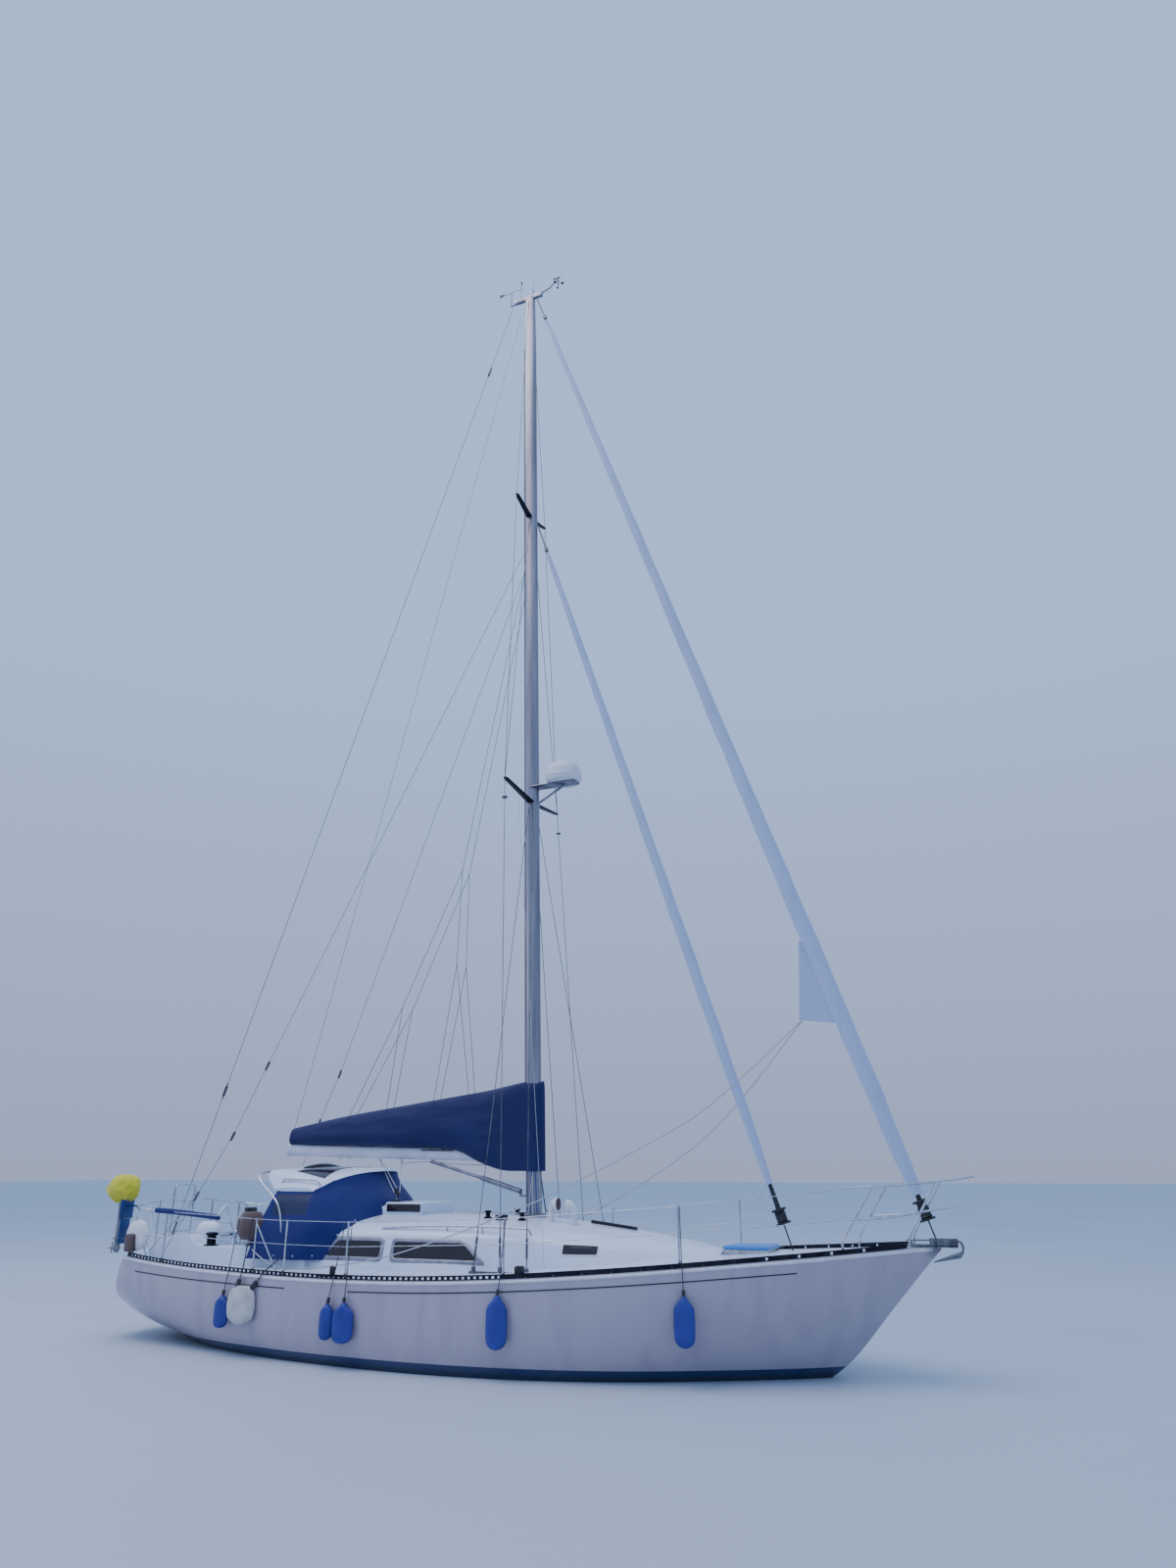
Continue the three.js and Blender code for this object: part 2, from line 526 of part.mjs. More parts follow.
const pushpitTop = mirrored([[-4300, -1165, 1545], [-4800, -1095, 1575], [-5000, -985, 1597],
  [-5068, -760, 1625], [-5076, -300, 1675], [-5074, 0, 1685]]);
const pushpitMid = pushpitTop.map(([x, y, z]) => [x, y, z - 300]);
const pushpitLegs = [-1, 1].flatMap((side) => [
  bar([-4300, side * 1165, 900], [-4300, side * 1165, 1545], RAIL),
  bar([-4965, side * 990, 930], [-4985, side * 995, 1595], RAIL),
  bar([-5060, side * 520, 930], [-5080, side * 520, 1650], RAIL),
  bar([-4660, side * 1070, 930], [-4990, side * 992, 1585], RAIL - 2),
]);
add('pushpit', seated(joined([tube(pushpitTop, RAIL, 26), tube(pushpitMid, RAIL - 2, 22), ...pushpitLegs])),
  STAINLESS);

// Stanchions with two lifelines on each side
const STANCHIONS = [-2590, -2090, -1160, 840, 2700];
const LIFELINES = [330, 590];
for (const [name, side] of SIDES) {
  const foot = (x) => [x, side * (deckEdge(x)[0] - 62), deckTop(x, deckEdge(x)[0] - 62)];
  const lift = ([x, y, z], rise) => [x, y + side * rise * 0.02, z + rise];
  const posts = STANCHIONS.map((x) => bar(lift(foot(x), -30), lift(foot(x), LIFELINES[1] + 10), 12, 8));
  const ends = [[[-4284, side * 1168, 1275], [4382, side * 572, 1550]],
    [[-4284, side * 1168, 1530], [4328, side * 602, 1850]]];
  const wires = LIFELINES.flatMap((rise, i) => {
    const stops = [ends[i][0], ...STANCHIONS.map((x) => lift(foot(x), rise)), ends[i][1]];
    return stops.slice(1).map((stop, k) => bar(stops[k], stop, WIRE, 5));
  });
  add(`lifelines_${name}`, seated(joined([...posts, ...wires])), STAINLESS);
}

// Bow roller with its anchor
const ROLLER_Y = -78;
const roller = joined([
  block([4850, -60, 1290], [5230, 60, 1314]),
  block([4900, ROLLER_Y - 50, 1290], [5360, ROLLER_Y + 50, 1312]),
  block([5180, ROLLER_Y - 50, 1290], [5380, ROLLER_Y - 38, 1370]),
  block([5180, ROLLER_Y + 38, 1290], [5380, ROLLER_Y + 50, 1370]),
  bar([5330, ROLLER_Y - 44, 1320], [5330, ROLLER_Y + 44, 1320], 24, 10),
]);
add('bow_roller', seated(roller), STAINLESS);
const fluke = loft([
  [[5400, -150, 1235], [5400, 150, 1235], [5385, 0, 1205]],
  [[5250, -95, 1180], [5250, 95, 1180], [5240, 0, 1150]],
  [[5120, -8, 1150], [5120, 8, 1150], [5115, 0, 1140]],
]);
const shank = plate([[4860, 1350], [5340, 1355], [5440, 1330], [5420, 1225], [5385, 1225], [5395, 1318],
  [5330, 1346], [4860, 1342]].map(([x, z]) => [x, z - 3]), -9, 9);
const anchorCuts = [hullSolid.translate([HAIR, 0, 0]), below, roller.translate([0, 0, HAIR])];
add('anchor', largest(less(joined([shank, fluke]).translate([0, ROLLER_Y, 0]), anchorCuts)), GREY_PAINT);

// Mast with its masthead crane and two pairs of spreaders
const mastAt = (z) => {
  const t = (z - MAST_FOOT[2]) / (MAST_HEAD[2] - MAST_FOOT[2]);
  return [mix(MAST_FOOT[0], MAST_HEAD[0], t), 0, z];
};
const mastRing = (z, taper = 1) => {
  const [x] = mastAt(z);
  return Array.from({ length: 12 }, (_, i) => {
    const angle = (i / 12) * 2 * Math.PI;
    return [x + MAST_SECTION[0] / 2 * taper * Math.cos(angle), MAST_SECTION[1] / 2 * taper * Math.sin(angle), z];
  });
};
// root height, tip height, tip half span, chord
const SPREADERS = [[6930, 7035, 850, 120], [11720, 11880, 513, 105]];
const spreaders = SPREADERS.flatMap(([root, tip, span, chord]) => [-1, 1].map((side) => {
  const rings = [[0, root, chord], [side * span, tip, chord * 0.62]].map(([y, z, width]) => {
    const [x] = mastAt(z);
    return [[x + width / 2, y, z], [x, y, z + 15], [x - width / 2, y, z], [x, y, z - 15]];
  });
  return loft(rings);
}));
// Masthead crane, with an arm aft for the wind vane and one forward for the cups
const VANE = [-324, 18]; // x and y of the vane's pin, beside the backstay
const CUPS_X = 593;
const CUPS_Z = 16430;
const crane = joined([
  block([-235, -32, 16290], [290, 32, 16375]),
  block([VANE[0] - 7, VANE[1] - 7, 16296], [-200, VANE[1] + 7, 16312]),
  block([VANE[0] - 7, VANE[1] - 7, 16296], [VANE[0] + 7, VANE[1] + 7, 16590]),
  bar([250, 0, 16365], [430, 0, 16412], 9, 8),
  bar([426, 0, 16409], [522, 0, 16505], 9, 8),
  bar([517, 0, 16505], [CUPS_X + 14, 0, 16505], 9, 8),
  bar([CUPS_X, 0, 16480], [CUPS_X, 0, 16590], 10, 8),
]);
const gooseneckLug = block([BOOM_PIVOT[0] - 22, -30, BOOM_PIVOT[2] - 130], [mastAt(2220)[0], 30, BOOM_PIVOT[2] - 100]);
const gooseneckTop = block([BOOM_PIVOT[0] - 22, -30, BOOM_PIVOT[2] + 100], [mastAt(2220)[0], 30, BOOM_PIVOT[2] + 130]);
const vangLug = block([BOOM_PIVOT[0] - 20, -26, 1740], [mastAt(1750)[0], 26, 1765]);
const radarShelf = joined([
  block([mastAt(7100)[0], -90, 7150], [980, 90, 7176]),
  bar([mastAt(6900)[0] + 60, 0, 6900], [820, 0, 7160], 18, 6),
]);
const mastSolid = joined([loft([mastRing(1470), mastRing(15000), mastRing(16350, 0.82)]), ...spreaders, crane,
  gooseneckLug, gooseneckTop, vangLug, radarShelf]);
add('mast', mastSolid.subtract(coachroof.translate([0, 0, HAIR])).subtract(roofOuter), MAST_GREY);

const dome = lathe([[0, 0], [235, 0], [255, 40], [255, 150], [225, 235], [140, 272], [0, 285]], 20);
add('radar_dome', dome.translate([775, 0, 7176 + HAIR]), DOME_WHITE);

// Shrouds: cap shroud over both spreader tips, intermediate and two lowers on each side
const CHAINPLATE = [600, 1215];
for (const [name, side] of SIDES) {
  const tip = ([, z, span]) => [mastAt(z)[0], side * (span + 4), z];
  const deckPoint = (x) => [x, side * CHAINPLATE[1], deckTop(x, CHAINPLATE[1]) - 60];
  const [lower, upper] = SPREADERS;
  const capTop = [mastAt(16200)[0], side * 64, 16200];
  const wires = joined([
    bar(capTop, tip(upper), WIRE, 6),
    bar(tip(upper), tip(lower), WIRE, 6),
    bar(tip(lower), deckPoint(CHAINPLATE[0]), WIRE, 6),
    bar([mastAt(11650)[0], side * 72, 11650], tip(lower), WIRE, 6),
    bar([mastAt(6850)[0] - 20, side * 72, 6850], deckPoint(CHAINPLATE[0] - 330), WIRE, 6),
    bar([mastAt(6850)[0] + 30, side * 72, 6850], deckPoint(CHAINPLATE[0] + 330), WIRE, 6),
    block([CHAINPLATE[0] - 370, side * CHAINPLATE[1] - 20, 940], [CHAINPLATE[0] + 370, side * CHAINPLATE[1] + 20, 1040]),
  ]);
  const shroudCuts = [above, mastSolid, coachroof.translate([0, 0, HAIR])];
  add(`shrouds_${name}`, largest(less(wires, shroudCuts)), STAINLESS);
}

// Backstay to the transom
const BACKSTAY = [[-240, 0, 16330], [-5300, 0, 1090]];
const backstayFoot = block([-5310, -14, 900], [-5240, 14, 1110]);
const backstayCuts = [hullSolid.translate([-HAIR, 0, 0]), above];
add('backstay', largest(less(joined([bar(...BACKSTAY, WIRE, 6), backstayFoot]), backstayCuts)), STAINLESS);

// Furled headsails: head of stay, tack of stay, then heights and radii of the roll
const stays = {
  genoa: {
    head: [175, 0, 16300], foot: [5185, 0, 1285], drum: [1545, 1745], swivel: [15740, 15830],
    roll: [[1800, 50], [2300, 74], [3400, 94], [5200, 96], [8000, 82], [11500, 62], [14500, 42], [15700, 26]],
    corner: [[3870, 3720], [4330, 3655], [4080, 4660], [3930, 4660]], // the clew's x and height, left hanging out
  },
  staysail: {
    head: [300, 0, 11560], foot: [3625, 0, 1200], drum: [1480, 1640], swivel: [11060, 11140],
    roll: [[1900, 30], [2600, 52], [4200, 66], [6500, 62], [9000, 52], [10700, 38], [11030, 24]],
    corner: null,
  },
};
for (const [name, { head, foot, drum, swivel, roll, corner }] of Object.entries(stays)) {
  const onStay = (z) => {
    const t = (z - foot[2]) / (head[2] - foot[2]);
    return [mix(foot[0], head[0], t), 0, z];
  };
  const fitting = (low, high, radius) => bar(onStay(low), onStay(high), radius, 12);
  const lowEnd = roll[0][0];
  const lower = joined([
    bar(foot, onStay(lowEnd - 0.6), 13, 8),
    fitting(drum[0], drum[0] + 25, 88),
    fitting(drum[0] + 20, drum[1] - 20, 52),
    fitting(drum[1] - 25, drum[1], 88),
  ]);
  const deckCuts = [above, roller.translate([0, 0, HAIR]), roller.translate([HAIR, 0, 0])];
  add(`${name}_furler`, largest(less(lower, deckCuts)), STAINLESS);
  const lean = new THREE.Vector3().subVectors(vector(head), vector(foot)).normalize();
  const across = new THREE.Vector3(0, 1, 0).cross(lean);
  const rings = roll.map(([z, radius]) => Array.from({ length: 10 }, (_, i) => {
    const angle = (i / 10) * 2 * Math.PI;
    return vector(onStay(z)).addScaledVector(across, radius * Math.cos(angle))
      .add(new THREE.Vector3(0, radius * Math.sin(angle), 0)).toArray();
  }));
  const sail = corner ? loft(rings).add(plate(corner, -6, 6)) : loft(rings);
  add(`furled_${name}`, sail, SAILCLOTH);
  const upper = joined([
    bar(onStay(roll.at(-1)[0] + 0.6), head, 7, 8),
    fitting(swivel[0], swivel[1], 30),
  ]);
  add(`${name}_head_stay`, upper.subtract(mastSolid), STAINLESS);
}

// Boom, its sail cover and the rigid vang
const boomStart = [BOOM_PIVOT[0] - 60, 0, BOOM_PIVOT[2]];
const boomRing = ([x, , z]) => Array.from({ length: 12 }, (_, i) => {
  const angle = (i / 12) * 2 * Math.PI;
  return [x, BOOM_WIDTH / 2 * Math.sin(angle), z + BOOM_HEIGHT / 2 * Math.cos(angle)];
});
const knuckle = joined([
  bar([BOOM_PIVOT[0], 0, BOOM_PIVOT[2] - 99.4], [BOOM_PIVOT[0], 0, BOOM_PIVOT[2] + 99.4], 16, 10),
  block([BOOM_PIVOT[0] - 70, -14, BOOM_PIVOT[2] - 40], [BOOM_PIVOT[0], 14, BOOM_PIVOT[2] + 40]),
]);
const boom = loft([boomRing(boomStart), boomRing(BOOM_END)]).add(knuckle);
add('boom', boom, MAST_GREY);
const VANG = [[-1075, 0, 2165], [BOOM_PIVOT[0], 0, 1800]];
const vangPin = bar([BOOM_PIVOT[0], 0, 1765.6], [BOOM_PIVOT[0], 0, 1830], 14, 10);
add('boom_vang', joined([bar(VANG[0], [-300, 0, 1954], 24, 8), bar([-300, 0, 1954], VANG[1], 32, 8), vangPin])
  .subtract(boom.translate([0, 0, -HAIR])).subtract(boom), GREY_PAINT);

const coverRing = ([x, low, high, half]) => {
  const mid = mix(low, high, 0.35);
  return [[x, -half * 0.8, low], [x, -half, mid], [x, -half * 0.75, mix(mid, high, 0.6)], [x, 0, high],
    [x, half * 0.75, mix(mid, high, 0.6)], [x, half, mid], [x, half * 0.8, low]];
};
// x, bottom, top and half breadth of the sail cover
const COVER = [[-3320, 2385, 2600, 85], [-2500, 2370, 2740, 140], [-1500, 2340, 2870, 165],
  [-700, 2300, 2970, 165], [-300, 2140, 3020, 155], [40, 2050, 3080, 130]];
const boomCuts = [boom, ...[-HAIR, HAIR].flatMap((d) => [boom.translate([0, 0, d]), boom.translate([0, d, 0])])];
const cover = less(loft(COVER.map(coverRing)), boomCuts);
add('sail_cover', largest(cover), BLUE_CANVAS);
const collarRing = (z, grow) => {
  const [x] = mastAt(z);
  return Array.from({ length: 12 }, (_, i) => {
    const angle = (i / 12) * 2 * Math.PI;
    return [x + 22 + (MAST_SECTION[0] / 2 + grow) * Math.cos(angle), (MAST_SECTION[1] / 2 + grow) * Math.sin(angle), z];
  });
};
const collar = loft([collarRing(2020, 22), collarRing(2600, 26), collarRing(3120, 14)]);
const collarCuts = [loft([1900, 3300].map((z) => mastRing(z, 1.004))), mastSolid,
  block([-300, -400, 1900], [330, 400, 3300])];
add('mast_collar', largest(less(collar, collarCuts)), BLUE_CANVAS);

// Steering pedestal and wheel
const pedestal = joined([
  block([-4080, -75, SOLE_TOP - 30], [-3920, 75, 1290]),
  bar([WHEEL_CENTRE[0] + 20.6, 0, WHEEL_CENTRE[2]], [-4000, 0, WHEEL_CENTRE[2]], 30, 12),
  lathe([[0, 0], [90, 0], [95, 60], [70, 120], [0, 140]], 16).translate([-4000, 0, 1285]),
]);
add('pedestal', seated(pedestal), WHITE);
const rim = new THREE.TorusGeometry(WHEEL_RADIUS, 13, 6, 28);
rim.rotateY(Math.PI / 2);
const spokes = [0, 60, 120].map((degrees) => {
  const angle = THREE.MathUtils.degToRad(degrees);
  const arm = [0, WHEEL_RADIUS * Math.cos(angle), WHEEL_RADIUS * Math.sin(angle)];
  return bar(arm.map((v) => -v), arm, 7, 6);
});
const wheel = joined([solid(rim), ...spokes, bar([-30, 0, 0], [20, 0, 0], 45, 12)]);
add('steering_wheel', wheel.translate([WHEEL_CENTRE[0], 0, WHEEL_CENTRE[2]]), STAINLESS);

// Sheet winches on the coamings: x, size
const WINCHES = [['primary', -3020, 1], ['secondary', -3710, 0.9]];
for (const [rank, x, size] of WINCHES) {
  for (const [name, side] of SIDES) {
    const profile = [[0, 0], [105, 0], [105, 16], [62, 30], [52, 90], [62, 140], [88, 148], [88, 178], [0, 186]];
    const drum = lathe(profile.map(([r, h]) => [r * size, h * size]), 16);
    const y = side * (mix(SEAT_HALF[1], coamingOut(x), 0.5) + 40);
    add(`${rank}_winch_${name}`, seated(drum.translate([x, y, coamingTop(x) - 6])), BLACK_RAIL);
  }
}

// Boarding ladder folded up outside the pushpit
const LADDER_X = -5370;
const LADDER_Y = 252; // beside the backstay
const LADDER_FOOT = 1130;
const ladderRails = joined([-200, 200].map((y) => bar([LADDER_X, y, LADDER_FOOT - 10], [LADDER_X, y, 1785], 13)));
const ladderHoop = tube([[LADDER_X, -200, 1780], [LADDER_X, -185, 1835], [LADDER_X, -135, 1860],
  [LADDER_X, 135, 1860], [LADDER_X, 185, 1835], [LADDER_X, 200, 1780]], 13, 12);
const rungs = [1230, 1430, 1630].map((z) => bar([LADDER_X, -200, z], [LADDER_X, 200, z], 13, 6));
const pins = bar([LADDER_X, -222, LADDER_FOOT], [LADDER_X, 222, LADDER_FOOT], 8, 8);
const ladder = joined([ladderRails, ladderHoop, ...rungs, pins]).translate([0, LADDER_Y, 0]);
add('boarding_ladder', ladder, STAINLESS);
const lugs = [-224, 224].map((offset) => {
  const y = LADDER_Y + offset;
  const eye = block([LADDER_X - 18, y - 5, LADDER_FOOT - 20], [-5150, y + 5, LADDER_FOOT + 20]);
  return eye.add(block([-5290, y - 5, 960], [-5150, y + 5, LADDER_FOOT]));
});
const lugBar = block([-5320, LADDER_Y - 229, 1040], [-5230, LADDER_Y + 229, 1056]);
const lugHole = bar([LADDER_X, LADDER_Y - 240, LADDER_FOOT], [LADDER_X, LADDER_Y + 240, LADDER_FOOT], 9, 12);
const lugCuts = [lugHole, hullSolid.translate([-HAIR, 0, 0])];
add('ladder_bracket', largest(seated(less(joined([...lugs, lugBar]), lugCuts))), STAINLESS);

// Outboard motor stowed on the stern rail
const MOTOR = [-5330, -930];
const pad = block([MOTOR[0] + 65.5, MOTOR[1] - 110, 1440], [MOTOR[0] + 100, MOTOR[1] + 110, 1680]);
const padArm = bar([MOTOR[0] + 90, MOTOR[1], 1601], [-5018, MOTOR[1], 1601], 11, 8);
add('motor_pad', largest(joined([pad, padArm]).subtract(tube(pushpitTop, RAIL + HAIR, 26))), GREY_PAINT);
const leg = joined([
  block([MOTOR[0] - 45, MOTOR[1] - 35, 1000], [MOTOR[0] + 45, MOTOR[1] + 35, 1640]),
  block([MOTOR[0] - 110, MOTOR[1] - 60, 1180], [MOTOR[0] + 60, MOTOR[1] + 60, 1195]),
  block([MOTOR[0] + 30, MOTOR[1] - 60, 1500], [MOTOR[0] + 65, MOTOR[1] + 60, 1690]),
  block([MOTOR[0] + 30, MOTOR[1] - 60, 1682], [MOTOR[0] + 128, MOTOR[1] + 60, 1700]),
  bar([MOTOR[0] - 80, MOTOR[1], 1075], [MOTOR[0] + 60, MOTOR[1], 1075], 32, 12),
]);
add('outboard_leg', leg, GREY_PAINT);
const motorCover = loft([[1700.5, 150, 105], [1790, 205, 140], [1900, 200, 135], [1990, 120, 80]]
  .map(([z, long, wide]) => Array.from({ length: 12 }, (_, i) => {
    const angle = (i / 12) * 2 * Math.PI;
    return [MOTOR[0] - 40 + long * Math.cos(angle), MOTOR[1] + wide * Math.sin(angle), z];
  })));
add('outboard_cover', motorCover, YELLOW_CANVAS);

// Wind vane and cups at the masthead
const vaneArm = joined([
  bar([0, 0, 16590.5], [0, 0, 16630], 5, 8),
  bar([-220, 0, 16618], [200, 0, 16618], 4, 6),
  plate([[-238, 16580], [-150, 16600], [-150, 16636], [-238, 16656]], -2, 2),
]).translate([VANE[0], VANE[1], 0]);
add('wind_vane', vaneArm, BLACK_RAIL);
const cups = joined([
  bar([CUPS_X, 0, CUPS_Z - 20], [CUPS_X, 0, 16479.5], 7, 8),
  ...[0, 120, 240].map((degrees) => {
    const angle = THREE.MathUtils.degToRad(degrees);
    const reach = [CUPS_X + 75 * Math.cos(angle), 75 * Math.sin(angle), CUPS_Z];
    return bar([CUPS_X, 0, CUPS_Z], reach, 4, 5).add(solid(new THREE.SphereGeometry(24, 8, 6)).translate(reach));
  }),
]);
add('wind_cups', cups, BLACK_RAIL);

export default yacht;
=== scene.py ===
# %% [markdown]
# A cruising sailing yacht, dressed for a studio picture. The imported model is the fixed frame: it says
# where each piece is and what it moves with. This lesson gives every piece its fine shape and its finish.
# Everything is in metres, with X towards the bow, Y to port and Z up from the waterline.

# %% Load the frame
import json
from math import acos, atan2, copysign, cos, dist, hypot, pi, radians, sin, sqrt, tau

import bpy
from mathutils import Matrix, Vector, noise


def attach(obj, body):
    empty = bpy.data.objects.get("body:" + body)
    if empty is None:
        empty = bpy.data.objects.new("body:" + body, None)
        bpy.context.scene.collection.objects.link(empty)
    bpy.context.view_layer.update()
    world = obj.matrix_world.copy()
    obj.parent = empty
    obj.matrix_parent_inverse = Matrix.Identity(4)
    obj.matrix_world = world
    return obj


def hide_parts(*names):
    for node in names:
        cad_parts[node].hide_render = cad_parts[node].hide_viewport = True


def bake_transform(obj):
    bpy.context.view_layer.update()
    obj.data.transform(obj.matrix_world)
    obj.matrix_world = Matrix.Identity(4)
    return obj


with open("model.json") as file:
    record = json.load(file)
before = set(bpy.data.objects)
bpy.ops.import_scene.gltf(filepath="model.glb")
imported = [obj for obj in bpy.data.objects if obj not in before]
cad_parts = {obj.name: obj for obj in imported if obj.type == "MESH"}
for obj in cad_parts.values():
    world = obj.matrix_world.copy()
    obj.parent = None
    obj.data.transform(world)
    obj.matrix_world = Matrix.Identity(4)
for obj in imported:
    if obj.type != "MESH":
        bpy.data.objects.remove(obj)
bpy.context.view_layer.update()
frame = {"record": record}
NODE_BODY = {node: body for body, nodes in frame["record"]["behaviour"]["bodies"].items() for node in nodes}

# %% [markdown]
# The camera stands two metres above the water, off the starboard bow, and looks up at the mast. The
# picture's long side is its height, so the lens is worked out from that side.

# %% Camera
EYE = (6.404, -12.461, 2.04)
PITCH_UP = 20.526
TURN_LEFT = 22.863
FOCAL_SHARE = 1055 / 1600  # focal length as a share of the picture's height
SENSOR = 36
bpy.ops.object.camera_add(location=EYE, rotation=(radians(90 + PITCH_UP), 0, radians(TURN_LEFT)))
camera = bpy.context.object
camera.data.sensor_width = SENSOR
camera.data.lens = FOCAL_SHARE * SENSOR
camera.data.clip_end = 500
bpy.context.scene.camera = camera
print("lens", round(camera.data.lens, 2), "mm")

# %% [markdown]
# A finish starts from the real material's colour. Hex codes are written as a screen shows them, and a
# shader works in linear light, so one function turns them. Another adds a node with its settings and links.

# %% Colour and node helpers
def colour(code):
    """An sRGB hex code as the linear colour that a shader takes."""
    parts = [int(code[i:i + 2], 16) / 255 for i in (1, 3, 5)]
    linear = [p / 12.92 if p <= 0.04045 else ((p + 0.055) / 1.055) ** 2.4 for p in parts]
    return (*linear, 1)


def add_node(tree, kind, settings=None, links=None):
    """One node with its settings, by attribute or input, and its links from other nodes' sockets."""
    made = tree.nodes.new(kind)
    for key, value in (settings or {}).items():
        if isinstance(key, str) and hasattr(made, key):
            setattr(made, key, value)
        else:
            made.inputs[key].default_value = value
    for key, socket in (links or {}).items():
        tree.links.new(socket, made.inputs[key])
    return made


class Finish:
    """A material under construction: its node tree, its shader and the place that its patterns read."""

    def __init__(self, name, slot, base, roughness, metallic=0.0, on_cloth=False, **sockets):
        self.material = bpy.data.materials.new(name)
        self.material.use_nodes = True
        self.slot = slot
        self.tree = self.material.node_tree
        self.shader = self.tree.nodes["Principled BSDF"]
        self.shader.inputs["Base Color"].default_value = colour(base)
        self.shader.inputs["Roughness"].default_value = roughness
        self.shader.inputs["Metallic"].default_value = metallic
        for key, value in sockets.items():
            self.shader.inputs[key.replace("_", " ")].default_value = value
        place = add_node(self.tree, "ShaderNodeTexCoord")
        self.place = place.outputs["UV" if on_cloth else "Object"]
        self.normal = None

    def add(self, kind, settings=None, links=None):
        return add_node(self.tree, kind, settings, links)

    def clouds(self, size, stretch=(1, 1, 1), detail=3.0):
        """Noise whose clouds are about size metres across, drawn out along the axes by stretch."""
        place = self.add("ShaderNodeMapping", {"Scale": [1 / s for s in stretch]}, {"Vector": self.place})
        made = self.add("ShaderNodeTexNoise", {"Scale": 0.5 / size, "Detail": detail},
                        {"Vector": place.outputs["Vector"]})
        return made.outputs["Fac"]

    def blend(self, factor, first, second, low=0.35, high=0.65):
        """Colour that goes from first to second as factor goes from low to high."""
        ramp = self.add("ShaderNodeMapRange", {"From Min": low, "From Max": high}, {"Value": factor})
        mix = self.add("ShaderNodeMix", {"data_type": "RGBA"}, {"Factor": ramp.outputs["Result"]})
        for socket, tint in ((mix.inputs[6], first), (mix.inputs[7], second)):
            if isinstance(tint, str):
                socket.default_value = colour(tint)
            else:
                self.tree.links.new(tint, socket)
        return mix.outputs[2]

    def paint(self, tint):
        self.tree.links.new(tint, self.shader.inputs["Base Color"])

    def gloss(self, factor, smooth, rough):
        """Roughness from smooth to rough with the factor."""
        spread = self.add("ShaderNodeMapRange", {"From Min": 0.3, "From Max": 0.7, "To Min": smooth,
                                                 "To Max": rough}, {"Value": factor})
        self.tree.links.new(spread.outputs["Result"], self.shader.inputs["Roughness"])

    def relief(self, height, depth, strength=1.0):
        """Fine relief, depth in metres, on top of any relief that is there already."""
        links = {"Height": height}
        if self.normal is not None:
            links["Normal"] = self.normal
        bump = self.add("ShaderNodeBump", {"Distance": depth, "Strength": strength}, links)
        self.normal = bump.outputs["Normal"]
        self.tree.links.new(self.normal, self.shader.inputs["Normal"])


# %% [markdown]
# Glass-reinforced hulls are moulded in gelcoat, a white polyester skin. It is glossy and a little wavy,
# and it chalks in patches. Walking surfaces carry moulded non-skid, fine pips with a pitch of about 6 mm,
# drawn here at 20 mm because the real pitch is too fine to show. It lies only where the face looks up.

# %% Gelcoat
GELCOAT, CHALK = "#dfe8f8", "#d2dcee"


def gelcoat_finish(name):
    made = Finish(name, "gelcoat", GELCOAT, 0.3, Coat_Weight=0.25, Coat_Roughness=0.12)
    made.paint(made.blend(made.clouds(0.6), GELCOAT, CHALK))
    made.gloss(made.clouds(0.15), 0.24, 0.42)
    made.relief(made.clouds(0.25, detail=1), 0.004, 0.35)
    return made


moulded_gelcoat = gelcoat_finish("gelcoat_moulded")
deck_gelcoat = gelcoat_finish("gelcoat_non_skid")
PIP_PITCH = 0.020
pips = deck_gelcoat.add("ShaderNodeTexVoronoi", {"Scale": 1 / PIP_PITCH, "Randomness": 0.0},
                        {"Vector": deck_gelcoat.place})
facing = deck_gelcoat.add("ShaderNodeNewGeometry")
upward = deck_gelcoat.add("ShaderNodeSeparateXYZ", links={"Vector": facing.outputs["Normal"]})
walked = deck_gelcoat.add("ShaderNodeMapRange", {"From Min": 0.93, "From Max": 0.97},
                          {"Value": upward.outputs["Z"]})
raised = deck_gelcoat.add("ShaderNodeMath", {"operation": "MULTIPLY"},
                          {0: pips.outputs["Distance"], 1: walked.outputs["Result"]})
deck_gelcoat.relief(raised.outputs["Value"], 0.0015, 0.8)
worn = deck_gelcoat.blend(deck_gelcoat.clouds(0.4), "#d5deee", "#c8d2e4")
clean = deck_gelcoat.blend(deck_gelcoat.clouds(0.6), GELCOAT, CHALK)
deck_gelcoat.paint(deck_gelcoat.blend(walked.outputs["Result"], clean, worn, 0, 1))

# %% [markdown]
# The topsides carry a boot stripe at the water and antifouling below it, told apart by their height, and
# rain streaks run down from the deck edge. Their white gelcoat is painted as it looks in shade, a dim mauve
# grey darker than the gelcoat on deck. The thin dark cove line is a tape, so it's a piece of its own.

# %% Topsides
BOOT_TOP = 0.115
ANTIFOULING_TOP = 0.055
# painted shade: the topsides' white gelcoat, darkened to a dim mauve grey as it looks out of the light
HULL_WHITE_IN_SHADE = "#b3a9b6"
ANTIFOULING = ("#1b2a4a", "#26364a")
GLOSSY, DULL = 0.16, 0.75
topsides = Finish("gelcoat_topsides", "gelcoat", HULL_WHITE_IN_SHADE, GLOSSY, Coat_Weight=0.4, Coat_Roughness=0.06)
height = topsides.add("ShaderNodeSeparateXYZ", links={"Vector": topsides.place}).outputs["Z"]


def below(level):
    """1 where the hull lies below a height, 0 above it."""
    return topsides.add("ShaderNodeMath", {"operation": "LESS_THAN", 1: level}, {0: height}).outputs["Value"]


